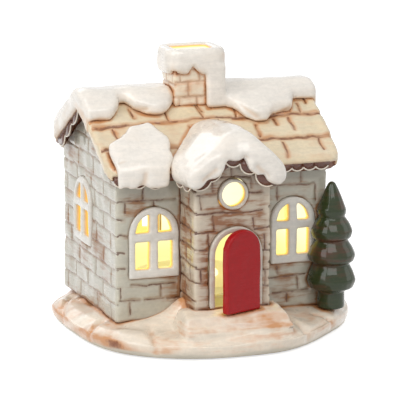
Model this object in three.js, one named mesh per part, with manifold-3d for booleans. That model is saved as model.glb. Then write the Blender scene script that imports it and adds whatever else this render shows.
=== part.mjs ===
// A glazed ceramic winter cottage, lit from inside by a battery light unit that twists into its base.
// Millimetres, +Z up, the front door faces -Y.
// The origin is the middle of the footprint, on the surface that the cottage stands on.
import * as THREE from "three";
import { mergeVertices } from "three/addons/utils/BufferGeometryUtils.js";
import Module from "manifold-3d";

const wasm = await Module();
wasm.setup();

// Clearances
const seam = 0.3; // between two ceramic pieces that are bedded on one another
const fit = 0.35; // between moulded plastic parts
const over = 3; // how far a cutting solid runs past what it cuts
const bite = 0.5; // how far two shapes of one piece run into each other
const threadRoom = 0.2; // round a screw's shank, in the part that it bites into
const shankRoom = 0.3; // round a shank or a head, in the part that it holds down

// Snowy mound that the cottage stands on
const baseWidth = 157;
const baseDepth = 144;
const groundLevel = 13; // top of the mound, where the walls start
const rimRound = 4.5; // how far the rounded rim bulges past the foot
const footLift = 0.5; // the felt pads hold the foot this far off the table
const footWidth = 9.5;
const deckThickness = 3.9;
const padRadius = 5;
const padThickness = 1.2;
const padBossWall = 2;

// Felt pads: how far in from the mound's side and end each one sits
const padInsets = [
  { name: "foot_pad_front_left", side: -1, across: 28.5, end: -1, along: 30 },
  { name: "foot_pad_front_right", side: 1, across: 42.5, end: -1, along: 32 },
  { name: "foot_pad_back_left", side: -1, across: 21.5, end: 1, along: 22 },
  { name: "foot_pad_back_right", side: 1, across: 21.5, end: 1, along: 26 },
];

// House
const houseX = -4;
const houseY = 18;
const houseWidth = 116;
const houseDepth = 88;
const wallThickness = 4.5;

// Main roof
const ridgeHeight = 123.5; // top of the tiles
const roofSlope = 0.62; // drop for each millimetre away from the ridge
const roofThickness = 5; // measured straight down
const eaveOverhang = 7.5; // at the front
const backOverhang = 3;
const vergeOverhang = 5.5;
const tilePitch = 15.6; // depth of a tile course, measured level and up from the eave
const tileStep = 0.9;
const roofCorner = 8; // rounding of its four corners, seen from above

// Chimney
const chimneyX = -6;
const chimneyY = 17;
const chimneyWidth = 25;
const chimneyDepth = 20;
const chimneyWall = 2.2;
const chimneyRise = 19.5; // how far the stack stands above the ridge
const chimneySnowCrown = 5; // how far its snow stands above the stack
const chimneySnowThickness = 2.7;
const chimneySnowDrop = 8; // how far the cap hangs down the stack
const chimneyRoot = 20; // how far below the ridge the stack is still solid, under the tiles
const capLayers = [ // each layer of the cap, with how far it is drawn in at the sides, foot and top
  { inset: 0, corner: 6, foot: 2.5, top: 2.5 },
  { inset: 0.7, corner: 5.5, foot: 1, top: 0.9 },
  { inset: 1.4, corner: 5, foot: 0, top: 0 },
];
const capGap = { left: 5.5, peak: -3.8, right: 4.5, drop: 2 }; // bare brick between the cap's two front lobes
const capRun = { overlap: 7.5, spread: 3, rise: 4, thinner: 0.6 }; // snow down the stack's right side
const capHoleRoom = 1; // how much further out than the flue the cap's hole is cut

// Porch
const porchX = -6.9;
const porchWidth = 41;
const porchReach = 23; // how far it stands out from the front wall
const porchFloor = 22.2;
const porchRidge = 104; // top of the porch roof, under its snow
const porchSlope = 0.7;
const porchRoofThickness = 4.5;
const porchEave = 5.5; // overhang at the sides
const porchFrontOverhang = 6;
const passageDrop = 16; // the way from the house into the porch ends this far below the porch ridge

// Doorway and door
const doorwayX = -5.2;
const doorwayWidth = 23.4;
const doorwaySpring = 50; // height where the arch starts
const archBand = 2.6;
const archProud = 1;
const doorWidth = 21.6;
const doorTop = 63.8;
const doorBottom = 21.2;
const doorThickness = 4;
const doorAngle = 18; // it is fixed ajar
const doorHang = 1.3; // how far inside the doorway's edge the door's hinged side stands

// Windows
const frontLeftWindow = { x: -41.8, sill: 35.6, width: 26.6, height: 36.7 };
const frontRightWindow = { x: 35, sill: 37.4, width: 24.6, height: 35 };
const sideWindow = { y: 28.5, sill: 44.4, width: 28, height: 34.8 };
const backWindow = { spread: 17.5, sill: 38, width: 25, height: 35 };
const frameBand = 2.9;
const mullion = 4.1;
const transomHeight = 0.58; // middle of the cross bar, as a share of the frame's height
const frameProud = 1.2; // how far a frame stands out from the wall
const sillBand = 1.2; // how much deeper the frame is at its sill
const smallestPane = 0.6;
const roundWindow = { x: -6.7, z: 81.4, radius: 6.5 };
const roundBand = 1.4;

// Steps
const stairLeft = 6.5; // how far the stair block spreads past the porch on each side
const stairRight = 4.5;
const stairFlare = 3; // extra spread at the foot of the block
const landingBack = 22.4; // height of the landing at the porch
const landingEdge = 19.2; // and at its front edge
const landingReach = 11; // from the porch front to the landing's edge
const treadReach = 16;
const treadHeight = 15.2;
const riserHeight = 2.8;
const stairWrap = 8; // how far the block wraps back beside the porch
const noseReach = 2; // rounding of a step's front edge, along the step
const noseRise = 1;
const noseDrop = 0.8;
const stairBatter = 1.2; // how far the lowest riser leans out at its foot

// Fir tree
const treeFromRight = 23.6; // in from the mound's right side
const treeFromFront = 40.5; // in from the mound's front end
const treeTip = 80.6;
const treeTiers = [ // a tier's foot, where it is widest, and how wide it and its foot are there
  { foot: 22.3, footRadius: 7, height: 28, radius: 12.9 },
  { foot: 37.1, footRadius: 9, height: 41.2, radius: 12.5 },
  { foot: 49.5, footRadius: 8.2, height: 54, radius: 10.9 },
  { foot: 61.9, footRadius: 6.5, height: 65.3, radius: 7.7 },
];
const trunkRadius = 7.2;
const tierDroop = 0.3; // height of a tier's lower edge, as a share of the way from its foot to its widest place
const tierSpread = 0.72; // and how far out that edge is, as a share of the same way
const tierShoulder = 0.5; // height of its shoulder, as a share of the way up to the next foot
const tierFullness = 0.62; // and how far out the shoulder is, as a share of the way to the widest place
const treePoint = [[4.9, 72.4], [3.2, 76.4], [1.7, 79.4]]; // radius and height of the rounded top

// Snow
const snowThickness = 6;
const snowHang = 3; // how far snow hangs out past a tile edge
const snowSkirt = 6.5; // and how far down past the tiles' top
const snowRound = 3; // rounding of a snow layer's edge
const snowBulge = 0.2; // how far that edge bulges past its foot
const ridgeSoftening = 0.8; // how much lower the snow lies over the ridge than a sharp fold would
const ridgeFlat = 4; // half the width of the softened strip
const vergeSnow = 1.6; // how far snow hangs out past a verge
const porchSnowCrown = 10; // how far the snow stands above the porch ridge
const porchSnowLip = 4.5; // how far it hangs out past the porch roof's front edge

// Light unit, hung in a plastic ring that is bonded into the base
const unitRadius = 33;
const unitWall = 1.5;
const unitFlange = 5.5;
const unitBottom = 3;
const unitPlate = 3;
const unitHeight = 19.6;
const coverThickness = 1.8;
const gasketThickness = 0.45;
const ringClearance = 2.1;
const ringWall = 2.4;
const ringFlange = 4;
const ringFlangeThickness = 2.5;
const lugCount = 3;
const lugHeight = 2;
const lugSpan = 24; // degrees
const ledgeSpan = 60; // degrees
const lockAngle = 30; // degrees of twist from locked to free
const lugSlack = 2; // degrees between a lug and its stops
const stopSpan = 3; // degrees

// Cells and their bay
const cellRadius = 5.2;
const cellLength = 43.6;
const cellNub = 0.9;
const cellNubRadius = 1.9;
const cellPitch = 11.2;
const springRoom = 4.75; // length left in the bay for a cell's spring
const bayWall = 1.2;
const cellClearance = 0.6;
const bayLedge = 1.4;
const hatchThickness = 2;
const hatchHingeX = -29.6;
const hatchScrewX = 29.6;
const hatchEnd = 3.6; // how far the hatch runs past its screw
const hatchScrewLength = 5.2;
const hatchBossHeight = 5;
const hatchBossRadius = 3;
const hatchCorner = 6;
const trunnionRadius = 0.5;
const trunnionLength = 1.5;
const contactThickness = 0.4;
const contactWidth = 8;
const contactHeight = 8;
const springWire = 0.3;
const springTurns = 4;
const springRadius = 3.4;
const springTaper = 1.2; // how much narrower the spring is at the cell

// Switch, lamp and board
const switchY = 22.5;
const switchTravel = 3;
const switchLength = 12;
const switchWidth = 6;
const switchHeight = 5;
const sliderThickness = 1.6;
const knobLength = 3;
const knobWidth = 2;
const knobProud = 1.1;
const switchWall = 0.8;
const carriageLip = 1.2; // how far the slider's plate runs past its knob
const boardThickness = 1.2;
const boardLength = 26;
const boardWidth = 14;
const standoff = 1;
const standoffInset = 2;
const standoffRadius = 1.4;
const lampRadius = 2.5;
const lampHeight = 8.6;
const diffuserRadius = 11;
const diffuserHeight = 13;
const diffuserWall = 1.4;
const diffuserFlange = 1.2;
const diffuserFlangeReach = 2;
const coverHoleInset = 3; // how much smaller than the dome the hole under it is
const bossRadius = 2.6;
const screwRadius = 1;
const screwHeadRadius = 1.9;
const screwLength = 7;
const screwHead = 0.8;
const headSink = 0.9; // how deep a head sits in the cover
const screwSlot = 1.2; // half the length of a slot in the cross
const screwSlotWidth = 0.3; // half its width
const leadRadius = 0.55;
const leadSlot = 2;
const leadSlotPlace = 6;
const leadSlotDrop = 2.5;

// Worked-out places
const houseLeft = houseX - houseWidth / 2;
const houseRight = houseX + houseWidth / 2;
const houseFront = houseY - houseDepth / 2;
const houseBack = houseY + houseDepth / 2;
const porchFront = houseFront - porchReach;
const porchLeft = porchX - porchWidth / 2;
const porchRight = porchX + porchWidth / 2;
const porchRoofHalf = porchWidth / 2 + porchEave;
const chimneyTop = ridgeHeight + chimneyRise;
const chimneySnowTop = chimneyTop + chimneySnowCrown;
const porchSnowTop = porchRidge + porchSnowCrown;
const treeX = baseWidth / 2 - treeFromRight;
const treeY = treeFromFront - baseDepth / 2;
const deckUnderside = groundLevel - deckThickness;
const frontReach = houseDepth / 2 + eaveOverhang; // from the ridge to each eave
const backReach = houseDepth / 2 + backOverhang;
const roofHalf = houseWidth / 2 + vergeOverhang;
const vergeLeft = houseX - roofHalf - vergeSnow;
const vergeRight = houseX + roofHalf + vergeSnow;
const unitTop = unitBottom + unitHeight;
const unitInner = unitRadius - unitWall;
const ringBore = unitRadius + ringClearance;
const ringOuter = ringBore + ringWall;
const ringBottom = deckUnderside - ringFlangeThickness;
const plateTop = unitBottom + unitPlate;
const bayLength = cellLength + cellNub + 2 * contactThickness + fit + springRoom;
const bayWidth = cellPitch + 2 * cellRadius + 2 * cellClearance;
const hatchTop = unitBottom + hatchThickness;
const cellZ = hatchTop + cellClearance + cellRadius;
const bayCeiling = cellZ + cellRadius + cellClearance;

const glaze = { roughness: 0.25, metalness: 0 };
const finishes = {
  ground: { color: 0xe8d6bc, ...glaze },
  stone: { color: 0xb4aea2, ...glaze },
  tile: { color: 0xe2d0ae, ...glaze },
  snow: { color: 0xf0e9e0, ...glaze },
  frame: { color: 0xd8d4ca, ...glaze },
  door: { color: 0x9c2c30, ...glaze },
  fir: { color: 0x35482f, ...glaze },
  plastic: { color: 0xeeece6, roughness: 0.5, metalness: 0 },
  diffuser: { color: 0xf6f1df, roughness: 0.6, metalness: 0 },
  lamp: { color: 0xffe9b0, roughness: 0.1, metalness: 0 },
  board: { color: 0x2f6b3e, roughness: 0.5, metalness: 0 },
  steel: { color: 0xb8bcc0, roughness: 0.3, metalness: 1 },
  cell: { color: 0x3a3d42, roughness: 0.35, metalness: 0.4 },
  black: { color: 0x1c1c1e, roughness: 0.5, metalness: 0 },
  red: { color: 0xb02020, roughness: 0.5, metalness: 0 },
  rubber: { color: 0xc9c7c0, roughness: 0.8, metalness: 0 },
  felt: { color: 0x4a4a46, roughness: 0.95, metalness: 0 },
};

function solid(geometry) {
  const bare = geometry.index ? geometry.toNonIndexed() : geometry.clone();
  bare.deleteAttribute("normal");
  bare.deleteAttribute("uv");
  const merged = mergeVertices(bare, 1e-4);
  const vertProperties = new Float32Array(merged.attributes.position.array);
  const triVerts = new Uint32Array(merged.index.array);
  return new wasm.Manifold(new wasm.Mesh({ numProp: 3, vertProperties, triVerts }));
}

function outline(points) {
  return new THREE.Shape(points.map(([a, b]) => new THREE.Vector2(a, b)));
}

function extrude(points, depth) {
  const clockwise = THREE.ShapeUtils.isClockWise(points.map(([a, b]) => new THREE.Vector2(a, b)));
  const turned = clockwise ? [...points].reverse() : points;
  return new THREE.ExtrudeGeometry(outline(turned), { depth, bevelEnabled: false });
}

// Prisms along each axis: the outline is given in the two other coordinates
function prismZ(points, low, high) {
  return solid(extrude(points, high - low).translate(0, 0, low));
}

function prismX(points, low, high) {
  const turn = new THREE.Matrix4().set(0, 0, 1, low, 1, 0, 0, 0, 0, 1, 0, 0, 0, 0, 0, 1);
  return solid(extrude(points, high - low).applyMatrix4(turn));
}

function prismY(points, low, high) {
  return solid(extrude(points, high - low).rotateX(Math.PI / 2).translate(0, high, 0));
}

function box(x0, x1, y0, y1, z0, z1) {
  const geometry = new THREE.BoxGeometry(x1 - x0, y1 - y0, z1 - z0);
  return solid(geometry.translate((x0 + x1) / 2, (y0 + y1) / 2, (z0 + z1) / 2));
}

function cylinder(x, y, z0, z1, radius, sides = 32) {
  const geometry = new THREE.CylinderGeometry(radius, radius, z1 - z0, sides).rotateX(Math.PI / 2);
  return solid(geometry.translate(x, y, (z0 + z1) / 2));
}

function lathe(profile, x, y, sides = 40) {
  const points = profile.map(([r, z]) => new THREE.Vector2(r, z));
  return solid(new THREE.LatheGeometry(points, sides).rotateX(Math.PI / 2).translate(x, y, 0));
}

function tube(curve, radius, steps, sides) {
  const ring = new THREE.Shape();
  ring.absarc(0, 0, radius, 0, Math.PI * 2);
  const options = { steps, curveSegments: sides / 2, bevelEnabled: false, extrudePath: curve };
  return new THREE.ExtrudeGeometry(ring, options);
}

// A wedge of a circle, for lugs, ledges and stops that follow the ring
function wedge(from, to, radius) {
  const steps = 6;
  const arc = Array.from({ length: steps + 1 }, (_, i) => {
    const turn = THREE.MathUtils.degToRad(from + ((to - from) * i) / steps);
    return [houseX + radius * Math.cos(turn), houseY + radius * Math.sin(turn)];
  });
  return [[houseX, houseY], ...arc];
}

const root = new THREE.Group();

function add(name, shape, finish) {
  const mesh = shape.getMesh();
  const geometry = new THREE.BufferGeometry();
  geometry.setAttribute("position", new THREE.BufferAttribute(mesh.vertProperties, 3));
  geometry.setIndex(new THREE.BufferAttribute(mesh.triVerts, 1));
  geometry.computeVertexNormals();
  const part = new THREE.Mesh(geometry, new THREE.MeshStandardMaterial(finish));
  part.name = name;
  root.add(part);
}

// Heights of the roof surfaces at a given distance from their ridge
function roofTop(y, lift = 0) {
  return ridgeHeight + lift - roofSlope * Math.abs(y - houseY);
}

function porchTop(x, lift = 0) {
  return porchRidge + lift - porchSlope * Math.abs(x - porchX);
}

// How far the eave on one side is from the ridge: -1 is the front, 1 the back
function reachOf(side) {
  return side < 0 ? frontReach : backReach;
}

// The space above the main roof's tiles, from which the pieces that lie on the roof are cut
function aboveRoof(lift) {
  const far = frontReach + 40;
  const high = ridgeHeight + 60;
  const points = [
    [houseY - far, roofTop(houseY - far, lift)],
    [houseY, roofTop(houseY, lift)],
    [houseY + far, roofTop(houseY + far, lift)],
    [houseY + far, high],
    [houseY - far, high],
  ];
  return prismX(points, houseLeft - 40, houseRight + 40);
}

// The main roof with a seam of clearance all round, without its tile steps
function roofBody() {
  const front = houseY - frontReach - seam;
  const back = houseY + backReach + seam;
  const section = [[front, roofTop(front, tileStep + seam)], [houseY, roofTop(houseY, tileStep + seam)],
    [back, roofTop(back, tileStep + seam)], [back, roofTop(back, -roofThickness - 2 * seam)],
    [houseY, roofTop(houseY, -roofThickness - 2 * seam)], [front, roofTop(front, -roofThickness - 2 * seam)]];
  return prismX(section, houseLeft - vergeOverhang - seam, houseRight + vergeOverhang + seam);
}

// Mound: a round-rimmed plate with a foot all round and a hole for the light unit
const shoreline = [
  [78, 12], [74, -8], [65, -28], [49, -45], [31, -61], [14, -70], [-10, -72], [-34, -69], [-56, -58],
  [-71, -42], [-78, -22], [-80, 2], [-80, 28], [-75.5, 48], [-60, 65], [-22, 71], [20, 71], [53, 66], [72, 46],
];

function shore(shrink) {
  const curve = new THREE.CatmullRomCurve3(shoreline.map(([x, y]) => new THREE.Vector3(x, y, 0)), true);
  const points = curve.getPoints(48).slice(0, -1);
  const spread = new THREE.Box3().setFromPoints(points);
  const middle = spread.getCenter(new THREE.Vector3());
  const span = spread.getSize(new THREE.Vector3());
  return points.map((p) => [
    ((p.x - middle.x) * (baseWidth - 2 * shrink)) / span.x,
    ((p.y - middle.y) * (baseDepth - 2 * shrink)) / span.y,
  ]);
}

function layeredMound() {
  const rise = groundLevel - footLift;
  const steps = 6;
  const rings = Array.from({ length: steps + 1 }, (_, i) => {
    const turn = (i / steps) * Math.PI;
    const inset = rimRound * (1 - Math.sin(turn)) * (i <= steps / 2 ? 1 : 1.9);
    return { inset, z: footLift + (rise * (1 - Math.cos(turn))) / 2 };
  });
  const loops = rings.map(({ inset, z }) => shore(inset).map(([x, y]) => [x, y, z]));
  const count = loops[0].length;
  const positions = [];
  const quad = (a, b, c, d) => positions.push(...a, ...b, ...c, ...a, ...c, ...d);
  for (let i = 0; i < steps; i += 1) {
    for (let k = 0; k < count; k += 1) {
      const next = (k + 1) % count;
      quad(loops[i][k], loops[i][next], loops[i + 1][next], loops[i + 1][k]);
    }
  }
  for (let k = 0; k < count; k += 1) {
    const next = (k + 1) % count;
    positions.push(0, 0, footLift, ...loops[0][next], ...loops[0][k]);
    positions.push(0, 0, groundLevel, ...loops[steps][k], ...loops[steps][next]);
  }
  const geometry = new THREE.BufferGeometry();
  geometry.setAttribute("position", new THREE.Float32BufferAttribute(positions, 3));
  return ensureOutward(geometry);
}

function ensureOutward(geometry) {
  const shape = solid(geometry);
  if (shape.volume() > 0) return shape;
  const flipped = geometry.clone();
  const p = flipped.attributes.position;
  for (let i = 0; i < p.count; i += 3) {
    const [x, y, z] = [p.getX(i), p.getY(i), p.getZ(i)];
    p.setXYZ(i, p.getX(i + 1), p.getY(i + 1), p.getZ(i + 1));
    p.setXYZ(i + 1, x, y, z);
  }
  return solid(flipped);
}

const padPlaces = padInsets.map(({ name, side, across, end, along }) => ({
  name,
  x: side * (baseWidth / 2 - across),
  y: end * (baseDepth / 2 - along),
}));

function groundBase() {
  const recess = prismZ(shore(footWidth), footLift - over, deckUnderside);
  let bosses = cylinder(padPlaces[0].x, padPlaces[0].y, footLift, groundLevel - 1, padRadius + padBossWall);
  for (const pad of padPlaces.slice(1)) {
    bosses = bosses.add(cylinder(pad.x, pad.y, footLift, groundLevel - 1, padRadius + padBossWall));
  }
  let base = layeredMound().subtract(recess).add(bosses);
  const bottom = footLift - over;
  base = base.subtract(cylinder(houseX, houseY, bottom, groundLevel + over, ringOuter + seam, 48));
  base = base.subtract(cylinder(houseX, houseY, bottom, deckUnderside, ringOuter + ringFlange + seam, 48));
  for (const pad of padPlaces) {
    base = base.subtract(cylinder(pad.x, pad.y, bottom, padThickness, padRadius + seam));
  }
  add("ground_base", base, finishes.ground);
}

function footPads() {
  for (const pad of padPlaces) {
    add(pad.name, cylinder(pad.x, pad.y, 0, padThickness, padRadius), finishes.felt);
  }
}

// An upright outline with a round top, in two coordinates
function archPoints(middle, sill, width, height, grow = 0, sides = 14) {
  const radius = width / 2 + grow;
  const spring = sill + height - width / 2;
  const points = [[middle - radius, sill - grow], [middle + radius, sill - grow]];
  for (let i = 0; i <= sides; i += 1) {
    const turn = (i / sides) * Math.PI;
    points.push([middle + radius * Math.cos(turn), spring + radius * Math.sin(turn)]);
  }
  return points;
}

// The four panes of an arched window, as outlines
function panes(middle, { sill, width, height }) {
  const half = width / 2 - frameBand;
  const spring = sill + height - width / 2;
  const bar = sill + height * transomHeight;
  const inner = mullion / 2;
  const top = (across) => spring + Math.sqrt(Math.max(half ** 2 - across ** 2, 0));
  const outlines = [];
  for (const side of [-1, 1]) {
    outlines.push([
      [middle + side * inner, sill + frameBand + sillBand],
      [middle + side * half, sill + frameBand + sillBand],
      [middle + side * half, bar - inner],
      [middle + side * inner, bar - inner],
    ]);
    const arc = Array.from({ length: 6 }, (_, i) => inner + ((half - inner) * (5 - i)) / 5);
    const start = Math.max(bar + inner, sill + frameBand);
    const crown = arc.map((across) => [middle + side * across, Math.max(top(across), start + smallestPane)]);
    outlines.push([[middle + side * inner, start], [middle + side * half, start], ...crown]);
  }
  return outlines;
}

const windows = [
  { name: "window_front_left", size: frontLeftWindow, at: frontLeftWindow.x, wall: "front" },
  { name: "window_front_right", size: frontRightWindow, at: frontRightWindow.x, wall: "front" },
  { name: "window_left_side", size: sideWindow, at: sideWindow.y, wall: "left" },
  { name: "window_right_side", size: sideWindow, at: sideWindow.y, wall: "right" },
  { name: "window_back_left", size: backWindow, at: houseX - backWindow.spread, wall: "back" },
  { name: "window_back_right", size: backWindow, at: houseX + backWindow.spread, wall: "back" },
];

// A prism that goes through the named wall, from inside the wall to a given distance proud of it
function through(wall, points, inside, proud) {
  if (wall === "front") return prismY(points, houseFront - proud, houseFront + inside);
  if (wall === "back") return prismY(points, houseBack - inside, houseBack + proud);
  if (wall === "left") return prismX(points, houseLeft - proud, houseLeft + inside);
  return prismX(points, houseRight - inside, houseRight + proud);
}

function houseWalls() {
  const top = (y) => roofTop(y, -roofThickness - seam);
  const gable = [[houseFront, groundLevel], [houseBack, groundLevel], [houseBack, top(houseBack)],
    [houseY, top(houseY)], [houseFront, top(houseFront)]];
  let walls = prismX(gable, houseLeft, houseRight);
  walls = walls.subtract(box(houseLeft + wallThickness, houseRight - wallThickness,
    houseFront + wallThickness, houseBack - wallThickness, groundLevel - over, ridgeHeight + over));
  for (const { size, at, wall } of windows) {
    const hole = archPoints(at, size.sill, size.width, size.height, seam);
    walls = walls.subtract(through(wall, hole, wallThickness + over, over));
  }
  walls = walls.subtract(box(porchLeft + wallThickness, porchRight - wallThickness,
    houseFront - over, houseFront + wallThickness + over, porchFloor, porchRidge - passageDrop));
  add("house_walls", walls, finishes.stone);
}

function windowFrames() {
  for (const { name, size, at, wall } of windows) {
    const edge = archPoints(at, size.sill, size.width, size.height);
    let frame = through(wall, edge, wallThickness, frameProud);
    for (const pane of panes(at, size)) {
      frame = frame.subtract(through(wall, pane, wallThickness + over, frameProud + over));
    }
    add(name, frame, finishes.frame);
  }
}

function porchWalls() {
  const under = (x) => porchTop(x, -porchRoofThickness - seam);
  const section = [[porchLeft, groundLevel], [porchRight, groundLevel], [porchRight, under(porchRight)],
    [porchX, under(porchX)], [porchLeft, under(porchLeft)]];
  let walls = prismY(section, porchFront, houseFront);
  walls = walls.subtract(box(porchLeft + wallThickness, porchRight - wallThickness,
    porchFront + wallThickness, houseFront + over, groundLevel - over, porchRidge + over));
  const reach = doorwayWidth / 2 + archBand + seam;
  const opening = archPoints(doorwayX, porchFloor, 2 * reach, doorwaySpring + reach - porchFloor);
  walls = walls.subtract(prismY(opening, porchFront - over, porchFront + wallThickness + over));
  const hole = new THREE.CylinderGeometry(1, 1, 1, 36).scale(roundWindow.radius + roundBand + seam,
    wallThickness + 2 * over, roundWindow.radius + roundBand + seam);
  walls = walls.subtract(solid(hole.translate(roundWindow.x, porchFront + wallThickness / 2, roundWindow.z)));
  add("porch_walls", walls.subtract(roofBody()), finishes.stone);
}

function doorwayArch() {
  const outer = doorwayWidth / 2 + archBand;
  const inner = doorwayWidth / 2;
  const edge = archPoints(doorwayX, porchFloor, 2 * outer, doorwaySpring + outer - porchFloor);
  const hole = archPoints(doorwayX, porchFloor - over, 2 * inner, doorwaySpring + inner - porchFloor + over);
  let arch = prismY(edge, porchFront - archProud, porchFront + wallThickness);
  arch = arch.subtract(prismY(hole, porchFront - archProud - over, porchFront + wallThickness + over));
  add("doorway_arch", arch.subtract(stairSolid(seam)), finishes.frame);
}

function roundWindowRing() {
  const outer = roundWindow.radius + roundBand;
  const front = porchFront - frameProud;
  const depth = wallThickness + frameProud;
  const disc = (radius, extra) => solid(new THREE.CylinderGeometry(radius, radius, depth + 2 * extra, 36)
    .translate(roundWindow.x, front + depth / 2, roundWindow.z));
  add("round_window_ring", disc(outer, 0).subtract(disc(roundWindow.radius, over)), finishes.frame);
}

function frontDoor() {
  const radius = doorWidth / 2;
  const slab = archPoints(-radius, doorBottom, doorWidth, doorTop - doorBottom);
  const hinge = new THREE.Vector3(doorwayX + doorwayWidth / 2 - doorHang, porchFront - archProud - seam, 0);
  const turned = extrude(slab, doorThickness).rotateX(Math.PI / 2)
    .rotateZ(THREE.MathUtils.degToRad(doorAngle)).translate(hinge.x, hinge.y, 0);
  add("front_door", solid(turned).subtract(stairSolid(seam)), finishes.door);
}

// Steps in front of the porch: a sloping landing and one tread, on a block with splayed cheeks
function stairSolid(lift) {
  const low = groundLevel - over;
  const ground = lift > 0 ? low : groundLevel;
  const back = porchFront + stairWrap;
  const edge = porchFront - landingReach;
  const foot = porchFront - treadReach;
  const profile = [
    [back, ground],
    [back, landingBack + lift],
    [porchFront, landingBack + lift],
    [edge + noseReach, landingEdge + noseRise + lift],
    [edge, landingEdge - noseDrop + lift],
    [edge - noseReach / 2, landingEdge - riserHeight + lift],
    [foot + noseReach * 0.75, treadHeight + noseRise / 2 + lift],
    [foot, treadHeight - noseDrop + lift],
    [foot - stairBatter, ground],
  ];
  const high = landingBack + lift + over;
  const spread = stairFlare / (landingBack - groundLevel);
  const wide = (z) => stairFlare - spread * (z - groundLevel);
  const cheeks = [[porchLeft - stairLeft - wide(low), low], [porchRight + stairRight + wide(low), low],
    [porchRight + stairRight + wide(high), high], [porchLeft - stairLeft - wide(high), high]];
  const block = prismX(profile, houseLeft, houseRight);
  return block.intersect(prismY(cheeks, foot - stairBatter - over, back + over));
}

function entranceSteps() {
  const porch = box(porchLeft - seam, porchRight + seam, porchFront - seam, houseFront,
    groundLevel - over, landingBack + over);
  add("entrance_steps", stairSolid(0).subtract(porch), finishes.ground);
}

// Tile courses run up from each eave, and the topmost one is cut short by the ridge
function mainRoof() {
  const slopeSide = (side) => {
    const reach = reachOf(side);
    const points = [];
    for (let i = Math.ceil(reach / tilePitch); i > 0; i -= 1) {
      const upper = houseY + side * Math.max(reach - i * tilePitch, 0);
      const lower = houseY + side * (reach - (i - 1) * tilePitch);
      points.push([upper, roofTop(upper)]);
      points.push([lower, roofTop(lower, tileStep)]);
    }
    return points;
  };
  const front = slopeSide(-1);
  const back = slopeSide(1);
  const frontEave = houseY - frontReach;
  const backEave = houseY + backReach;
  const profile = [...front.slice(1).reverse(), [houseY, ridgeHeight], ...back.slice(1),
    [backEave, roofTop(backEave, -roofThickness)], [houseY, ridgeHeight - roofThickness],
    [frontEave, roofTop(frontEave, -roofThickness)]];
  let roof = prismX(profile, houseLeft - vergeOverhang, houseRight + vergeOverhang);
  roof = roof.subtract(flue(ridgeHeight - chimneyRoot - over, ridgeHeight + over));
  const plan = roundedPlan(houseX - roofHalf, houseX + roofHalf, frontEave, backEave, roofCorner);
  add("main_roof", roof.intersect(prismZ(plan, 0, chimneyTop)), finishes.tile);
}

function flue(low, high, grow = 0) {
  const halfWidth = chimneyWidth / 2 - chimneyWall + grow;
  const halfDepth = chimneyDepth / 2 - chimneyWall + grow;
  return box(chimneyX - halfWidth, chimneyX + halfWidth, chimneyY - halfDepth, chimneyY + halfDepth, low, high);
}

function chimneyBlock(low, high, grow = 0) {
  const halfWidth = chimneyWidth / 2 + grow;
  const halfDepth = chimneyDepth / 2 + grow;
  return box(chimneyX - halfWidth, chimneyX + halfWidth, chimneyY - halfDepth, chimneyY + halfDepth, low, high);
}

function chimneyStack() {
  const bore = flue(ridgeHeight - chimneyRoot - over, chimneyTop + over);
  const stack = chimneyBlock(ridgeHeight - chimneyRoot, chimneyTop).subtract(bore);
  add("chimney_stack", stack.intersect(aboveRoof(tileStep + seam)), finishes.tile);
}

// A rectangle with rounded corners
function roundedPlan(left, right, front, back, round) {
  const steps = 4;
  const points = [];
  const corners = [[right - round, back - round, 0], [left + round, back - round, 90],
    [left + round, front + round, 180], [right - round, front + round, 270]];
  for (const [x, y, start] of corners) {
    for (let i = 0; i <= steps; i += 1) {
      const turn = THREE.MathUtils.degToRad(start + (90 * i) / steps);
      points.push([x + round * Math.cos(turn), y + round * Math.sin(turn)]);
    }
  }
  return points;
}

// The layers of the snow cap, whole, before the stack and the flue are taken out
function capBody(grow = 0) {
  const width = chimneyWidth / 2 + chimneySnowThickness + grow;
  const depth = chimneyDepth / 2 + chimneySnowThickness + grow;
  const low = chimneyTop - chimneySnowDrop - grow;
  const layers = capLayers.map(({ inset, corner, foot, top }) => {
    const plan = roundedPlan(chimneyX - width + inset, chimneyX + width - inset,
      chimneyY - depth + inset, chimneyY + depth - inset, corner);
    return prismZ(plan, low + foot, chimneySnowTop - top + grow);
  });
  return layers.reduce((cap, layer) => cap.add(layer));
}

// Snow cap: it hugs the stack's top, with a rounded rim, and runs down the right side to the roof
function chimneySnow() {
  const low = chimneyTop - chimneySnowDrop - over;
  const front = chimneyY - chimneyDepth / 2;
  const bare = [[chimneyX - capGap.left, low], [chimneyX + capGap.peak, chimneyTop - capGap.drop],
    [chimneyX + capGap.right, low]];
  const gap = prismY(bare, front - chimneySnowThickness - over, front + 1);
  let cap = capBody().add(chimneyRun()).subtract(gap);
  cap = cap.subtract(chimneyBlock(ridgeHeight - chimneyRoot - over, chimneyTop + seam, seam));
  cap = cap.subtract(flue(chimneyTop - over, chimneySnowTop + over, capHoleRoom));
  add("chimney_snow", cap.intersect(aboveRoof(tileStep + 2 * seam)), finishes.snow);
}

// A blanket that lies on the main roof inside the given plan outline
function blanket(plan) {
  const base = tileStep + seam;
  const top = base + snowThickness;
  const half = (far) => [
    [far, base - snowSkirt],
    [far + snowBulge, top - snowRound],
    [far - snowRound, top],
    [2 * ridgeFlat, top],
    [ridgeFlat, top - ridgeSoftening],
  ];
  const side = (sign) => half(reachOf(sign) + snowHang)
    .map(([out, lift]) => [houseY + sign * out, roofTop(houseY + sign * out, lift)]);
  const section = [...side(-1), ...side(1).reverse(), [houseY, roofTop(houseY, base - snowSkirt)]];
  const layer = prismX(section, vergeLeft - over, vergeRight + over);
  return layer.intersect(prismZ(plan, groundLevel, chimneySnowTop));
}

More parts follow.
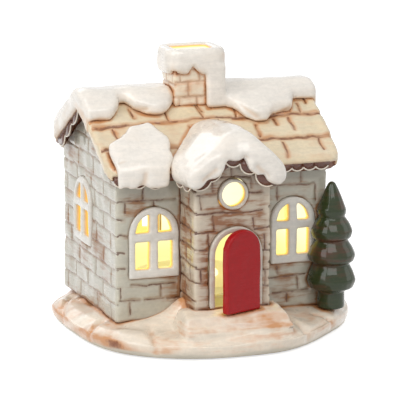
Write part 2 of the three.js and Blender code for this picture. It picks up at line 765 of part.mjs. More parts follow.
// The tiles with a seam of clearance, including what the snow has to clear at the eaves and verges
function roofClearance() {
  const front = houseY - frontReach - seam;
  const back = houseY + backReach + seam;
  const section = [
    [front, roofTop(front, tileStep + 2 * seam)],
    [houseY, ridgeHeight + tileStep + 2 * seam],
    [back, roofTop(back, tileStep + 2 * seam)],
    [back, 0],
    [front, 0],
  ];
  return prismX(section, houseLeft - vergeOverhang - seam, houseRight + vergeOverhang + seam);
}

// The snow that runs down the stack's right side on to the roof
function chimneyRun(grow = 0) {
  const right = chimneyX + chimneyWidth / 2;
  const along = chimneyDepth / 2 + capRun.spread + grow;
  return box(right - capRun.overlap - grow, right + chimneySnowThickness - capRun.thinner + grow,
    chimneyY - along, chimneyY + along, ridgeHeight - chimneyRoot, chimneyTop - chimneySnowDrop + capRun.rise);
}

// Plan outlines of the snow on the main roof.
// Each number is a share: across, of half the roof's width, and along, of the way from ridge to eave.
const ridgePlanLeft = [
  [-1.016, -0.35], [-0.819, -0.338], [-0.74, -0.233], [-0.717, -0.136], [-0.63, -0.126],
  [-0.583, -0.233], [-0.504, -0.291], [-0.409, -0.32], [-0.331, -0.282], [-0.252, -0.194],
  [-0.198, -0.136], [-0.198, 0.214], [-0.283, 0.272], [-0.409, 0.252], [-0.52, 0.388],
  [-0.63, 0.544], [-0.724, 0.718], [-0.756, 0.932], [-0.787, 1.107], [-0.82, 1.107],
  [-0.915, 1.023], [-0.961, 0.977], [-0.996, 0.915], [-1.02, 0.766],
];

const ridgePlanRight = [
  [0.142, -0.252], [0.189, -0.262], [0.268, -0.311], [0.331, -0.427], [0.409, -0.485],
  [0.504, -0.485], [0.567, -0.398], [0.74, -0.379], [0.803, -0.233], [1.016, -0.223],
  [1.016, 0.233], [0.819, 0.252], [0.756, 0.35], [0.598, 0.388], [0.488, 0.291], [0.315, 0.272],
  [0.142, 0.311],
];

const eavePlanFront = [
  [-0.955, -0.74], [-0.85, -0.699], [-0.772, -0.621], [-0.724, -0.534], [-0.528, -0.515],
  [-0.472, -0.621], [-0.417, -0.718], [-0.457, -0.854], [-0.449, -0.951], [-0.504, -1.01],
  [-0.52, -1.32], [-0.93, -1.32], [-0.955, -1],
];

const eavePlanBack = [
  [-0.283, 1.107], [-0.315, 0.816], [-0.189, 0.66], [-0.031, 0.718], [0.126, 0.621],
  [0.315, 0.699], [0.504, 0.602], [0.693, 0.699], [0.85, 0.816], [0.882, 1.107],
];

// Notches between the lobes of the eave snow: place and radius, as shares of half the roof's width
const notchesFront = [[-0.74, 0.038], [-0.882, 0.025]];
const notchesBack = [[-0.094, 0.035], [0.189, 0.041], [0.472, 0.031]];

function onRoof(plan) {
  return plan.map(([across, along]) => [houseX + across * roofHalf, houseY + along * reachOf(along)]);
}

function ridgeSnow(name, plan) {
  let snow = blanket(onRoof(plan)).subtract(roofClearance());
  snow = snow.subtract(chimneyRun(seam)).subtract(capBody(seam));
  snow = snow.subtract(chimneyBlock(ridgeHeight - chimneyRoot, chimneyTop, seam));
  add(name, snow, finishes.snow);
}

function eaveSnow(name, plan, side, notches) {
  let snow = blanket(onRoof(plan)).subtract(roofClearance());
  const eave = houseY + side * (reachOf(side) + snowHang);
  const foot = roofTop(eave, tileStep + seam - snowSkirt);
  for (const [across, radius] of notches) {
    const notch = new THREE.CylinderGeometry(radius * roofHalf, radius * roofHalf, 2 * snowSkirt + over, 12);
    snow = snow.subtract(solid(notch.translate(houseX + across * roofHalf, eave, foot)));
  }
  for (const [x, y, z] of [[0, 0, 0], [-1, 0, 0], [1, 0, 0], [0, -1, 0], [0, 1, 0], [0, 0, 1], [0, 0, -1]]) {
    snow = snow.subtract(porchSnowBody(x * seam, y * seam, z * seam));
  }
  add(name, snow, finishes.snow);
}

function porchRoof() {
  const left = porchX - porchRoofHalf;
  const right = porchX + porchRoofHalf;
  const section = [[left, porchTop(left)], [porchX, porchRidge], [right, porchTop(right)],
    [right, porchTop(right, -porchRoofThickness)], [porchX, porchRidge - porchRoofThickness],
    [left, porchTop(left, -porchRoofThickness)]];
  const roof = prismY(section, porchFront - porchFrontOverhang, houseY);
  add("porch_roof", roof.subtract(roofClearance()), finishes.tile);
}

// Outlines of the thick snow on the porch, as shares of half the porch roof's width.
// The first two are seen from the front, with the lower edge hanging in lobes.
// The third is its fall over the front edge and back to the roof, seen from the side.
const porchSnowCrest = [
  [-1.054, -0.923], [-1.077, -0.769], [-0.965, -0.635], [-0.735, -0.481], [-0.465, -0.288],
  [-0.196, -0.096], [0.035, -0.012], [0.17, 0], [0.304, -0.058], [0.52, -0.25], [0.72, -0.462],
  [0.88, -0.654], [0.96, -0.827], [0.94, -0.962],
];
const porchSnowLobes = [
  [0.85, -1.05], [0.75, -1.02], [0.61, -0.96], [0.558, -0.77], [0.385, -0.827], [0.231, -0.693],
  [0.154, -0.385], [0, -0.539], [-0.115, -0.52], [-0.25, -0.443], [-0.365, -0.731], [-0.5, -0.846],
  [-0.654, -0.808], [-0.769, -1], [-0.9, -1.04], [-1, -1.02],
];
const porchSnowFall = [
  [0, -1.5], [-0.008, -0.75], [0.03, -0.42], [0.2, -0.12], [0.45, 0], [1.269, -0.01],
  [1.95, -0.06], [2.1, -0.19], [2.12, -1.5],
];

function porchSnowBody(shiftX = 0, shiftY = 0, shiftZ = 0) {
  const crown = porchSnowTop + shiftZ;
  const front = porchFront - porchFrontOverhang - porchSnowLip + shiftY;
  const face = [...porchSnowCrest, ...porchSnowLobes]
    .map(([x, z]) => [porchX + shiftX + x * porchRoofHalf, crown + z * porchRoofHalf]);
  const fall = porchSnowFall.map(([y, z]) => [front + y * porchRoofHalf, crown + z * porchRoofHalf]);
  return prismY(face, front - 1, houseY).intersect(prismX(fall, houseLeft, houseRight));
}

function porchSnow() {
  const left = porchX - porchRoofHalf - seam;
  const right = porchX + porchRoofHalf + seam;
  const under = [[left, porchTop(left, seam)], [porchX, porchRidge + seam], [right, porchTop(right, seam)],
    [right, 0], [left, 0]];
  const room = prismY(under, porchFront - porchFrontOverhang - seam, houseY + over);
  add("porch_snow", porchSnowBody().subtract(room).subtract(roofClearance()), finishes.snow);
}

function firTree() {
  const profile = [[0, groundLevel], [trunkRadius, groundLevel]];
  treeTiers.forEach(({ foot, footRadius, height, radius }, i) => {
    profile.push([footRadius, foot]);
    profile.push([footRadius + tierSpread * (radius - footRadius), foot + tierDroop * (height - foot)]);
    profile.push([radius, height]);
    const next = treeTiers[i + 1];
    if (next) {
      profile.push([next.footRadius + tierFullness * (radius - next.footRadius),
        height + tierShoulder * (next.foot - height)]);
    }
  });
  profile.push(...treePoint, [0, treeTip]);
  const tree = lathe(profile, treeX, treeY, 20);
  const corner = box(houseLeft, houseRight + seam, houseFront - seam, houseBack, 0, ridgeHeight);
  const { x, sill, width, height } = frontRightWindow;
  const frame = through("front", archPoints(x, sill, width, height, seam), wallThickness, frameProud + seam);
  add("fir_tree", tree.subtract(corner).subtract(frame), finishes.fir);
}

// The light unit's own frame: x and y are measured from its middle, under the middle of the house
function unitBox(x0, x1, y0, y1, z0, z1) {
  return box(houseX + x0, houseX + x1, houseY + y0, houseY + y1, z0, z1);
}

function unitRound(x, y, z0, z1, radius, sides = 24) {
  return cylinder(houseX + x, houseY + y, z0, z1, radius, sides);
}

function band(from, to, inner, outer, low, high) {
  const hole = unitRound(0, 0, low - over, high + over, inner, 48);
  return prismZ(wedge(from, to, outer), low, high).subtract(hole);
}

// Ring with three ledges that carry the unit's lugs, and a stop beside each gap
function lockRing() {
  const rim = ringOuter + ringFlange;
  const profile = [[ringBore, ringBottom], [rim, ringBottom], [rim, deckUnderside], [ringOuter, deckUnderside],
    [ringOuter, groundLevel], [ringBore, groundLevel], [ringBore, ringBottom]];
  let ring = lathe(profile, houseX, houseY, 48);
  const inner = unitRadius + fit;
  for (let i = 0; i < lugCount; i += 1) {
    const start = (360 / lugCount) * i;
    const free = start + lugSlack + lugSpan + lockAngle + lugSlack;
    const ledge = ringBottom + lugHeight;
    const stopTop = groundLevel - bite;
    const rest = [start - ledgeSpan / 2, start + ledgeSpan / 2];
    ring = ring.add(band(...rest, inner, ringBore + bite, ringBottom, ledge));
    ring = ring.add(band(start - stopSpan, start, inner, ringBore + bite, ledge, stopTop));
    ring = ring.add(band(free, free + stopSpan, inner, ringBore + bite, ringBottom, stopTop));
  }
  add("base_lock_ring", ring, finishes.plastic);
}

const bosses = [[0, -24], [-15, 22], [15, 22]]; // screw pillars for the cover

function unitBody() {
  const bay = { x: bayLength / 2, y: bayWidth / 2 };
  const root = plateTop - bite;
  const bayTop = bayCeiling + bayWall;
  let body = unitRound(0, 0, unitBottom, plateTop, unitRadius + unitFlange, 48);
  body = body.add(unitRound(0, 0, root, unitTop, unitRadius, 48));
  body = body.subtract(unitRound(0, 0, plateTop, unitTop + over, unitInner, 48));
  body = body.add(unitBox(-bay.x - bayWall, bay.x + bayWall, -bay.y - bayWall, bay.y + bayWall, root, bayTop));
  body = body.add(unitRound(hatchScrewX, 0, root, plateTop + hatchBossHeight, hatchBossRadius));
  for (const [x, y] of bosses) body = body.add(unitRound(x, y, root, unitTop, bossRadius, 16));
  body = body.add(standoffs(bayTop)).add(lugs());
  body = body.subtract(unitBox(-bay.x, bay.x, -bay.y, bay.y, unitBottom - over, bayCeiling));
  body = body.subtract(hatchOutline(fit, unitBottom - over, hatchTop + threadRoom));
  body = body.subtract(unitRound(hatchScrewX, 0, unitBottom, plateTop + hatchBossHeight - 1,
    screwRadius + 2 * shankRoom, 16));
  body = body.subtract(trunnion(trunnionRadius + shankRoom, trunnionLength + fit));
  for (const [x, y] of bosses) {
    body = body.subtract(unitRound(x, y, unitTop - screwLength, unitTop + over, screwRadius + threadRoom, 12));
  }
  add("light_unit_body", body.subtract(knobSlot()).subtract(leadSlots()), finishes.plastic);
}

// Four short pegs that hold the board off the battery bay
function standoffs(foot) {
  const x = boardLength / 2 - standoffInset;
  const y = boardWidth / 2 - standoffInset;
  const pegs = [[-x, -y], [x, -y], [-x, y], [x, y]].map(([px, py]) => (
    unitRound(px, py, foot - bite, foot + standoff, standoffRadius, 12)));
  return pegs.reduce((all, peg) => all.add(peg));
}

// Three lugs that ride on the ring's ledges
function lugs() {
  const low = ringBottom + lugHeight + fit;
  const all = Array.from({ length: lugCount }, (_, i) => {
    const start = (360 / lugCount) * i + lugSlack;
    return band(start, start + lugSpan, unitRadius - 1, ringBore - fit, low, low + lugHeight);
  });
  return all.reduce((joined, lug) => joined.add(lug));
}

// Slot in the bottom plate that the switch's knob slides in
function knobSlot() {
  const reach = switchTravel / 2 + knobLength / 2 + fit;
  const half = knobWidth / 2 + fit;
  return unitBox(-reach, reach, switchY - half, switchY + half, unitBottom - over, plateTop + over);
}

// Slots at the top of the battery bay's end wall, where the leads leave their contacts
function leadSlots() {
  const end = bayLength / 2;
  const cut = (y) => unitBox(end - over, end + bayWall + over, y - leadSlot / 2, y + leadSlot / 2,
    bayCeiling - leadSlotDrop, bayCeiling + bayWall + bite);
  return cut(-leadSlotPlace).add(cut(leadSlotPlace));
}

// A rounded bar across the hatch's hinged end, for its pins and their holes
function trunnion(radius, reach) {
  const length = bayWidth + 2 * bayLedge + 2 * reach;
  const bar = new THREE.CylinderGeometry(radius, radius, length, 16);
  return solid(bar.translate(houseX + hatchHingeX, houseY, unitBottom + hatchThickness / 2));
}

function hatchOutline(grow, low, high) {
  const half = bayWidth / 2 + bayLedge + grow;
  const left = hatchHingeX - hatchThickness / 2 - grow;
  const right = hatchScrewX + hatchEnd + grow;
  const round = hatchCorner;
  const mid = hatchCorner * 0.35;
  const points = [[left, -half], [right - round, -half], [right - mid, -half + mid], [right, -half + round],
    [right, half - round], [right - mid, half - mid], [right - round, half], [left, half]];
  return prismZ(points.map(([x, y]) => [houseX + x, houseY + y]), low, high);
}

// Battery hatch: its hinged end is rounded about the hinge line and carries two pins
function batteryHatch() {
  const half = bayWidth / 2 + bayLedge;
  let hatch = hatchOutline(0, unitBottom, hatchTop);
  hatch = hatch.subtract(unitBox(hatchHingeX - over, hatchHingeX, -half - over, half + over,
    unitBottom - over, hatchTop + over));
  const knuckle = new THREE.CylinderGeometry(hatchThickness / 2, hatchThickness / 2, 2 * half, 16);
  hatch = hatch.add(solid(knuckle.translate(houseX + hatchHingeX, houseY, unitBottom + hatchThickness / 2)));
  hatch = hatch.add(trunnion(trunnionRadius, trunnionLength));
  const bottom = unitBottom - over;
  hatch = hatch.subtract(unitRound(hatchScrewX, 0, bottom, hatchTop + over, screwRadius + threadRoom, 16));
  hatch = hatch.subtract(unitRound(hatchScrewX, 0, bottom, unitBottom + hatchThickness / 2,
    screwHeadRadius + shankRoom, 16));
  add("battery_hatch", hatch, finishes.plastic);
}

// A cross-slotted screw: its shank runs from under the head in the given direction, +1 up or -1 down
function screw(x, y, under, length, direction) {
  const span = (from, to, radius, sides) => (
    unitRound(x, y, Math.min(from, to), Math.max(from, to), radius, sides));
  const top = under - direction * screwHead;
  const slotFloor = under - direction * screwHead / 2;
  const slotEnd = top - direction * over;
  let whole = span(under, under + direction * length, screwRadius, 12);
  whole = whole.add(span(under, top, screwHeadRadius, 16));
  const [low, high] = [Math.min(slotFloor, slotEnd), Math.max(slotFloor, slotEnd)];
  for (const [a, b] of [[screwSlot, screwSlotWidth], [screwSlotWidth, screwSlot]]) {
    whole = whole.subtract(unitBox(x - a, x + a, y - b, y + b, low, high));
  }
  return whole;
}

function fasteners() {
  const seat = unitTop + coverThickness - headSink;
  const hatchSeat = unitBottom + hatchThickness / 2;
  add("hatch_screw", screw(hatchScrewX, 0, hatchSeat, hatchScrewLength, 1), finishes.steel);
  bosses.forEach(([x, y], i) => {
    add(`cover_screw_${i + 1}`, screw(x, y, seat, screwLength - 1, -1), finishes.steel);
  });
}

function unitCover() {
  const top = unitTop + coverThickness;
  let cover = unitRound(0, 0, unitTop, top, unitRadius, 48);
  cover = cover.subtract(unitRound(0, 0, unitTop - over, top + over, diffuserRadius - coverHoleInset));
  for (const [x, y] of bosses) {
    cover = cover.subtract(unitRound(x, y, unitTop - over, top + over, screwRadius + shankRoom, 12));
    cover = cover.subtract(unitRound(x, y, top - headSink, top + over, screwHeadRadius + shankRoom, 16));
  }
  add("light_unit_cover", cover, finishes.plastic);
}

function unitGasket() {
  const top = plateTop + gasketThickness;
  const outer = unitRound(0, 0, plateTop, top, unitRadius + unitFlange - shankRoom * 2, 48);
  const hole = unitRound(0, 0, plateTop - over, top + over, ringBore - 1, 48);
  add("light_unit_gasket", outer.subtract(hole), finishes.rubber);
}

function diffuserDome() {
  const base = unitTop + coverThickness;
  const foot = base + diffuserFlange;
  const rim = diffuserRadius + diffuserFlangeReach;
  const steps = 5;
  const arc = (radius, height) => Array.from({ length: steps + 1 }, (_, i) => {
    const turn = (i / steps) * (Math.PI / 2);
    return [radius * Math.cos(turn), base + height * Math.sin(turn)];
  });
  const outside = arc(diffuserRadius, diffuserHeight).filter(([, z]) => z > foot);
  const inside = arc(diffuserRadius - diffuserWall, diffuserHeight - diffuserWall).reverse();
  const profile = [[rim, base], [rim, foot], ...outside, ...inside, [rim, base]];
  add("light_diffuser", lathe(profile, houseX, houseY, 28), finishes.diffuser);
}

function lampAndBoard() {
  const board = bayCeiling + bayWall + standoff;
  const foot = board + boardThickness;
  const x = boardLength / 2;
  const y = boardWidth / 2;
  add("led_board", unitBox(-x, x, -y, y, board, foot), finishes.board);
  const collar = lampRadius + 0.4;
  const top = foot + lampHeight;
  const lamp = [[0, foot], [collar, foot], [collar, foot + 1], [lampRadius, foot + 1],
    [lampRadius, top - lampRadius], [lampRadius * 0.86, top - lampRadius / 2],
    [lampRadius / 2, top - lampRadius * 0.14], [0, top]];
  add("led_lamp", lathe(lamp, houseX, houseY, 20), finishes.lamp);
}

// Two cells side by side, turned opposite ways
function cells() {
  const plate = bayLength / 2 - contactThickness - fit;
  const rod = (radius, length, sides) => (
    new THREE.CylinderGeometry(radius, radius, length, sides).rotateZ(Math.PI / 2));
  for (const [name, side] of [["battery_cell_front", -1], ["battery_cell_back", 1]]) {
    const y = houseY + (side * cellPitch) / 2;
    const can = rod(cellRadius, cellLength, 28);
    const nub = rod(cellNubRadius, cellNub + 2 * bite, 16);
    can.translate(houseX - side * (plate - cellNub - cellLength / 2), y, cellZ);
    nub.translate(houseX - side * (plate - cellNub / 2 - bite), y, cellZ);
    add(name, solid(can).add(solid(nub)), finishes.cell);
  }
}

function contacts() {
  const end = bayLength / 2;
  const low = cellZ - contactHeight / 2;
  const high = cellZ + contactHeight / 2;
  const half = contactWidth / 2;
  const across = cellPitch / 2 + half;
  add("contact_bridge", unitBox(-end, -end + contactThickness, -across, across, low, high), finishes.steel);
  for (const [name, side] of [["contact_positive", -1], ["contact_negative", 1]]) {
    const y = (side * cellPitch) / 2;
    add(name, unitBox(end - contactThickness, end, y - half, y + half, low, high), finishes.steel);
  }
  for (const [name, side] of [["contact_spring_front", -1], ["contact_spring_back", 1]]) {
    add(name, contactSpring(side), finishes.steel);
  }
}

// A tapered coil that presses one cell against the contact at its other end
function contactSpring(side) {
  const start = side * (bayLength / 2 - contactThickness - springWire - fit);
  const travel = springRoom - 2 * springWire - 2 * fit;
  const y = houseY + (side * cellPitch) / 2;
  const steps = springTurns * 8;
  const points = Array.from({ length: steps + 1 }, (_, i) => {
    const part = i / steps;
    const turn = part * springTurns * Math.PI * 2;
    const radius = springRadius - springTaper * part;
    return new THREE.Vector3(houseX + start - side * travel * part, y + radius * Math.cos(turn),
      cellZ + radius * Math.sin(turn));
  });
  return solid(tube(new THREE.CatmullRomCurve3(points), springWire, steps, 6));
}

function slideSwitch() {
  const half = switchLength / 2;
  const wide = switchWidth / 2;
  const inside = wide - switchWall;
  const plate = knobLength / 2 + carriageLip;
  const room = plate + switchTravel / 2 + fit;
  let shell = unitBox(-half, half, switchY - wide, switchY + wide, plateTop, plateTop + switchHeight);
  shell = shell.subtract(unitBox(-room, room, switchY - inside, switchY + inside,
    plateTop - over, plateTop + sliderThickness + 2 * fit));
  add("switch_body", shell, finishes.black);
  const x = -switchTravel / 2;
  const low = plateTop + fit;
  const carriage = unitBox(x - plate, x + plate, switchY - inside + fit, switchY + inside - fit,
    low, low + sliderThickness);
  const knob = unitBox(x - knobLength / 2, x + knobLength / 2, switchY - knobWidth / 2, switchY + knobWidth / 2,
    unitBottom - knobProud, low + bite);
  add("switch_slider", carriage.add(knob), finishes.black);
}

// Red lead from the positive contact to the board, black lead from the switch to the board
function leads() {
  const boardTop = bayCeiling + bayWall + standoff + boardThickness;
  const end = bayLength / 2;
  const edge = boardLength / 2;
  const path = (points) => new THREE.CatmullRomCurve3(
    points.map(([x, y, z]) => new THREE.Vector3(houseX + x, houseY + y, z)));
  const red = [[end + bayWall + 1.2, -6, bayCeiling - 2], [end + bayWall + 1.1, -6, bayCeiling + 1.6],
    [end - 4, -7, bayCeiling + 3], [edge + 2, -4, boardTop + 1.4], [edge - 3, -3, boardTop + 0.9]];
  const black = [[2, switchY, plateTop + switchHeight + 0.9], [6, switchY - 2, plateTop + switchHeight + 3.5],
    [8, switchY - 8, bayCeiling + 2.6], [7, 9, boardTop + 1.4], [5, 4, boardTop + 0.9]];
  add("lead_red", solid(tube(path(red), leadRadius, 16, 8)), finishes.red);
  add("lead_black", solid(tube(path(black), leadRadius, 20, 8)), finishes.black);
}

groundBase();
footPads();
houseWalls();
windowFrames();
porchWalls();
doorwayArch();
roundWindowRing();
frontDoor();
entranceSteps();
mainRoof();
chimneyStack();
chimneySnow();
ridgeSnow("ridge_snow_left", ridgePlanLeft);
ridgeSnow("ridge_snow_right", ridgePlanRight);
eaveSnow("eave_snow_front", eavePlanFront, -1, notchesFront);
eaveSnow("eave_snow_back", eavePlanBack, 1, notchesBack);
porchRoof();
porchSnow();
firTree();
lockRing();
unitBody();
batteryHatch();
fasteners();
unitCover();
unitGasket();
diffuserDome();
lampAndBoard();
cells();
contacts();
slideSwitch();
leads();

export default root;
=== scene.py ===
import math

import bmesh
import bpy
import numpy as np
from mathutils import Matrix, Vector
from mathutils.bvhtree import BVHTree


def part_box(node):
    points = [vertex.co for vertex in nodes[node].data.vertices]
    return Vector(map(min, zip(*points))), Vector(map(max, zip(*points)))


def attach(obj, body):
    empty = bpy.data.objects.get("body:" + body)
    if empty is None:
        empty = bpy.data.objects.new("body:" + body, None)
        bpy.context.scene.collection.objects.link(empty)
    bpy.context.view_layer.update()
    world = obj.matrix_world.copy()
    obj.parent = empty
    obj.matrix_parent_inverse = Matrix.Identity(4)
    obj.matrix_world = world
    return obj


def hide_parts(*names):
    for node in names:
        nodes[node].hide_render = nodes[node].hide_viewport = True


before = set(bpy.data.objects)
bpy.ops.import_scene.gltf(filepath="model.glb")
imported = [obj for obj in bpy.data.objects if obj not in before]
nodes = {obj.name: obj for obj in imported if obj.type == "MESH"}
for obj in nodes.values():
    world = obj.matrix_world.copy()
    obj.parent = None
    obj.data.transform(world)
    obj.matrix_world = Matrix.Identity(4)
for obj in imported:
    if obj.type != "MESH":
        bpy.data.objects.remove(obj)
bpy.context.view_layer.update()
scene = bpy.context.scene


# Camera: the photograph's viewpoint, a little above the eaves and round to the left of the front door.
# A long lens from well back, as a product photograph is taken.
MM = 0.001
VIEW_AZIMUTH = math.radians(-19.97)
VIEW_ELEVATION = math.radians(12.17)
VIEW_TARGET = Vector((-0.4, 18.0, 64.3)) * MM
VIEW_DISTANCE = 1626.0 * MM

look = bpy.data.cameras.new("camera")
look.lens = 275.1
look.sensor_width = 36.0
look.clip_start = 0.05
camera = bpy.data.objects.new("camera", look)
scene.collection.objects.link(camera)
outward = Vector((math.sin(VIEW_AZIMUTH) * math.cos(VIEW_ELEVATION),
                  -math.cos(VIEW_AZIMUTH) * math.cos(VIEW_ELEVATION), math.sin(VIEW_ELEVATION)))
camera.location = VIEW_TARGET + outward * VIEW_DISTANCE
camera.rotation_euler = outward.to_track_quat("Z", "Y").to_euler()
scene.camera = camera
scene.view_settings.view_transform = "Standard"


# Stage: a white sweep under a white sky, with a big soft lamp to the left and weaker ones round it.
# The white that the camera sees is given by its rays alone, so it adds no light to the object.
# From below the floor is clear, so that the underside can be looked at.
def srgb(red, green, blue):
    """A colour written as 0 to 255 screen values, as the shader's linear colour."""
    def linear(v):
        v /= 255
        return v / 12.92 if v <= 0.04045 else ((v + 0.055) / 1.055) ** 2.4
    return (linear(red), linear(green), linear(blue), 1.0)


def place(tree, kind, settings=None, inputs=None):
    """Adds a shader node. An input is a plain value or the socket that feeds it."""
    made = tree.nodes.new(kind)
    for key, value in (settings or {}).items():
        setattr(made, key, value)
    for key, value in (inputs or {}).items():
        if isinstance(value, bpy.types.NodeSocket):
            tree.links.new(value, made.inputs[key])
        else:
            made.inputs[key].default_value = value
    return made


def seen_directly(tree):
    """1 for rays that show the background: the camera's, and those in gloss or through glass."""
    path = place(tree, "ShaderNodeLightPath")
    first = place(tree, "ShaderNodeMath", {"operation": "MAXIMUM"},
                  {0: path.outputs["Is Camera Ray"], 1: path.outputs["Is Glossy Ray"]})
    return place(tree, "ShaderNodeMath", {"operation": "MAXIMUM"},
                 {0: first.outputs[0], 1: path.outputs["Is Transmission Ray"]}).outputs[0]


WHITE = (1, 1, 1, 1)
SKY_LIGHT = 0.42
FLOOR_RADIUS, PAPER, PAPER_LIFT = 6.0, (0.74, 0.74, 0.74, 1), 0.7

world = bpy.data.worlds.new("studio")
scene.world = world
world.use_nodes = True
sky = world.node_tree
sky.nodes.clear()
ambient = place(sky, "ShaderNodeBackground", None, {"Color": WHITE, "Strength": SKY_LIGHT})
white = place(sky, "ShaderNodeBackground", None, {"Color": WHITE, "Strength": 1.0})
choose = place(sky, "ShaderNodeMixShader", None,
               {0: seen_directly(sky), 1: ambient.outputs[0], 2: white.outputs[0]})
place(sky, "ShaderNodeOutputWorld", None, {0: choose.outputs[0]})

bm = bmesh.new()
bmesh.ops.create_circle(bm, cap_ends=True, segments=64, radius=FLOOR_RADIUS)
floor_mesh = bpy.data.meshes.new("floor")
bm.to_mesh(floor_mesh)
bm.free()
floor = bpy.data.objects.new("floor", floor_mesh)
scene.collection.objects.link(floor)
sweep = bpy.data.materials.new("white sweep")
sweep.use_nodes = True
tree = sweep.node_tree
tree.nodes.clear()
paper = place(tree, "ShaderNodeBsdfDiffuse", None, {"Color": PAPER})
lift = place(tree, "ShaderNodeEmission", None, {"Color": WHITE, "Strength": PAPER_LIFT})
shown = place(tree, "ShaderNodeMixShader", None, {0: seen_directly(tree), 2: lift.outputs[0]})
both = place(tree, "ShaderNodeAddShader", None, {0: paper.outputs[0], 1: shown.outputs[0]})
clear = place(tree, "ShaderNodeBsdfTransparent")
below = place(tree, "ShaderNodeNewGeometry").outputs["Backfacing"]
sided = place(tree, "ShaderNodeMixShader", None, {0: below, 1: both.outputs[0], 2: clear.outputs[0]})
place(tree, "ShaderNodeOutputMaterial", None, {0: sided.outputs[0]})
floor_mesh.materials.append(sweep)


def soft_lamp(name, azimuth, elevation, distance, width, height, power):
    """A softbox aimed at the cottage: degrees round and up, metres away, wide and high, and watts."""
    lamp = bpy.data.lights.new(name, "AREA")
    lamp.shape = "RECTANGLE"
    lamp.size = width
    lamp.size_y = height
    lamp.energy = power
    holder = bpy.data.objects.new(name, lamp)
    scene.collection.objects.link(holder)
    turn, rise = math.radians(azimuth), math.radians(elevation)
    away = Vector((math.sin(turn) * math.cos(rise), -math.cos(turn) * math.cos(rise), math.sin(rise)))
    holder.location = VIEW_TARGET + away * distance
    holder.rotation_euler = away.to_track_quat("Z", "Y").to_euler()


soft_lamp("key softbox", -62, 38, 0.9, 0.5, 0.7, 2.8)
soft_lamp("left strip", -80, 50, 0.9, 0.1, 0.5, 0.5)
soft_lamp("front softbox", -8, 42, 1.0, 0.7, 0.35, 2.3)
soft_lamp("right softbox", 75, 25, 1.0, 0.35, 0.7, 0.7)
soft_lamp("back softbox", 190, 35, 1.1, 0.8, 0.6, 1.6)


# Mound and steps: the snowy ground that the cottage stands on, with a sloping landing and one tread.
# They are poured in one and cream glazed, with a brown stain wiped into the hollows and painted shade with it
# where they meet the walls, the door and the tree. Inside the walls their top carries a painted lamp glow. The
# foot and the recess underneath are unglazed.
HOUSE = {"left": -62.0, "right": 54.0, "front": -26.0, "back": 62.0}
PORCH = {"left": -27.4, "right": 13.6, "front": -49.0, "back": -26.0}
WALL = 4.5
FAR = 9.0  # the distance in millimetres that is given where no drawn line is near


def new_piece(name, bm):
    """Turns a bmesh into a piece of that name."""
    mesh = bpy.data.meshes.new(name)
    bm.to_mesh(mesh)
    bm.free()
    piece = bpy.data.objects.new(name, mesh)
    scene.collection.objects.link(piece)
    return piece


def soften(piece, times):
    """Rounds a fine mesh's edges, as slip and glaze round them."""
    bm = bmesh.new()
    bm.from_mesh(piece.data)
    for _ in range(times):
        bmesh.ops.smooth_vert(bm, verts=bm.verts, factor=0.5,
                              use_axis_x=True, use_axis_y=True, use_axis_z=True)
    bm.to_mesh(piece.data)
    bm.free()


def cast(name, chosen, cell, rounding):
    """CAD nodes as they come from the mould: one even fine mesh of the given cell, with soft edges."""
    bm = bmesh.new()
    for node in chosen:
        bm.from_mesh(nodes[node].data)
    bmesh.ops.remove_doubles(bm, verts=bm.verts, dist=1e-6)
    piece = new_piece(name, bm)
    remesh = piece.modifiers.new("even mesh", "REMESH")
    remesh.mode = "VOXEL"
    remesh.voxel_size = cell * MM * 1.0
    coarse = piece.data
    ready = piece.evaluated_get(bpy.context.evaluated_depsgraph_get())
    piece.data = bpy.data.meshes.new_from_object(ready)
    piece.modifiers.clear()
    bpy.data.meshes.remove(coarse)
    soften(piece, rounding)
    return piece


def surface(piece):
    """A mesh's points in millimetres and its normals."""
    mesh = piece.data
    points, normals = np.empty((2, len(mesh.vertices) * 3))
    mesh.vertices.foreach_get("co", points)
    mesh.vertex_normals.foreach_get("vector", normals)
    return points.reshape(-1, 3) / MM, normals.reshape(-1, 3)


def move_points(piece, points):
    """Puts points, in millimetres, in a mesh."""
    piece.data.vertices.foreach_set("co", (points * MM).ravel())
    piece.data.update()


def paint(piece, name, values):
    """Keeps one number for each point, for the material to read."""
    found = piece.data.attributes.get(name) or piece.data.attributes.new(name, "FLOAT", "POINT")
    found.data.foreach_set("value", np.asarray(values, dtype=np.float32))


def smooth_step(value, low, high):
    """0 below low, 1 above high and a soft change between."""
    t = np.clip((value - low) / (high - low), 0, 1)
    return t * t * (3 - 2 * t)


def lumps(points, size, seed):
    """Soft uneven hills from about -1 to 1, of about the given size in millimetres."""
    rng = np.random.default_rng(seed)
    total = np.zeros(len(points))
    for _ in range(8):
        way = rng.normal(size=3)
        way *= 2 * math.pi / (np.linalg.norm(way) * size * rng.uniform(0.7, 1.5))
        total += np.sin(points @ way + rng.uniform(0, 2 * math.pi))
    return total / 3.6


def near(points, neighbours, reach):
    """How near each point is to the named CAD nodes: 1 where they touch, 0 from the given reach on."""
    verts, faces = [], []
    for name in neighbours:
        mesh = nodes[name].data
        start = len(verts)
        verts += [v.co for v in mesh.vertices]
        faces += [[start + i for i in p.vertices] for p in mesh.polygons]
    lookup = BVHTree.FromPolygons(verts, faces)
    gaps = np.full(len(points), reach)
    for i, p in enumerate(points * MM):
        found = lookup.find_nearest(p, reach * MM)
        if found[3] is not None:
            gaps[i] = found[3] / MM
    return 1 - gaps / reach


def line_gap(u, v, lines):
    """Distance in millimetres from points on a flat face to the nearest drawn line, given by its two ends."""
    best = np.full(len(u), FAR)
    for a, b, c, d in lines:
        length2 = (c - a) ** 2 + (d - b) ** 2
        t = np.clip(((u - a) * (c - a) + (v - b) * (d - b)) / length2, 0, 1)
        best = np.minimum(best, np.hypot(u - a - t * (c - a), v - b - t * (d - b)))
    return best


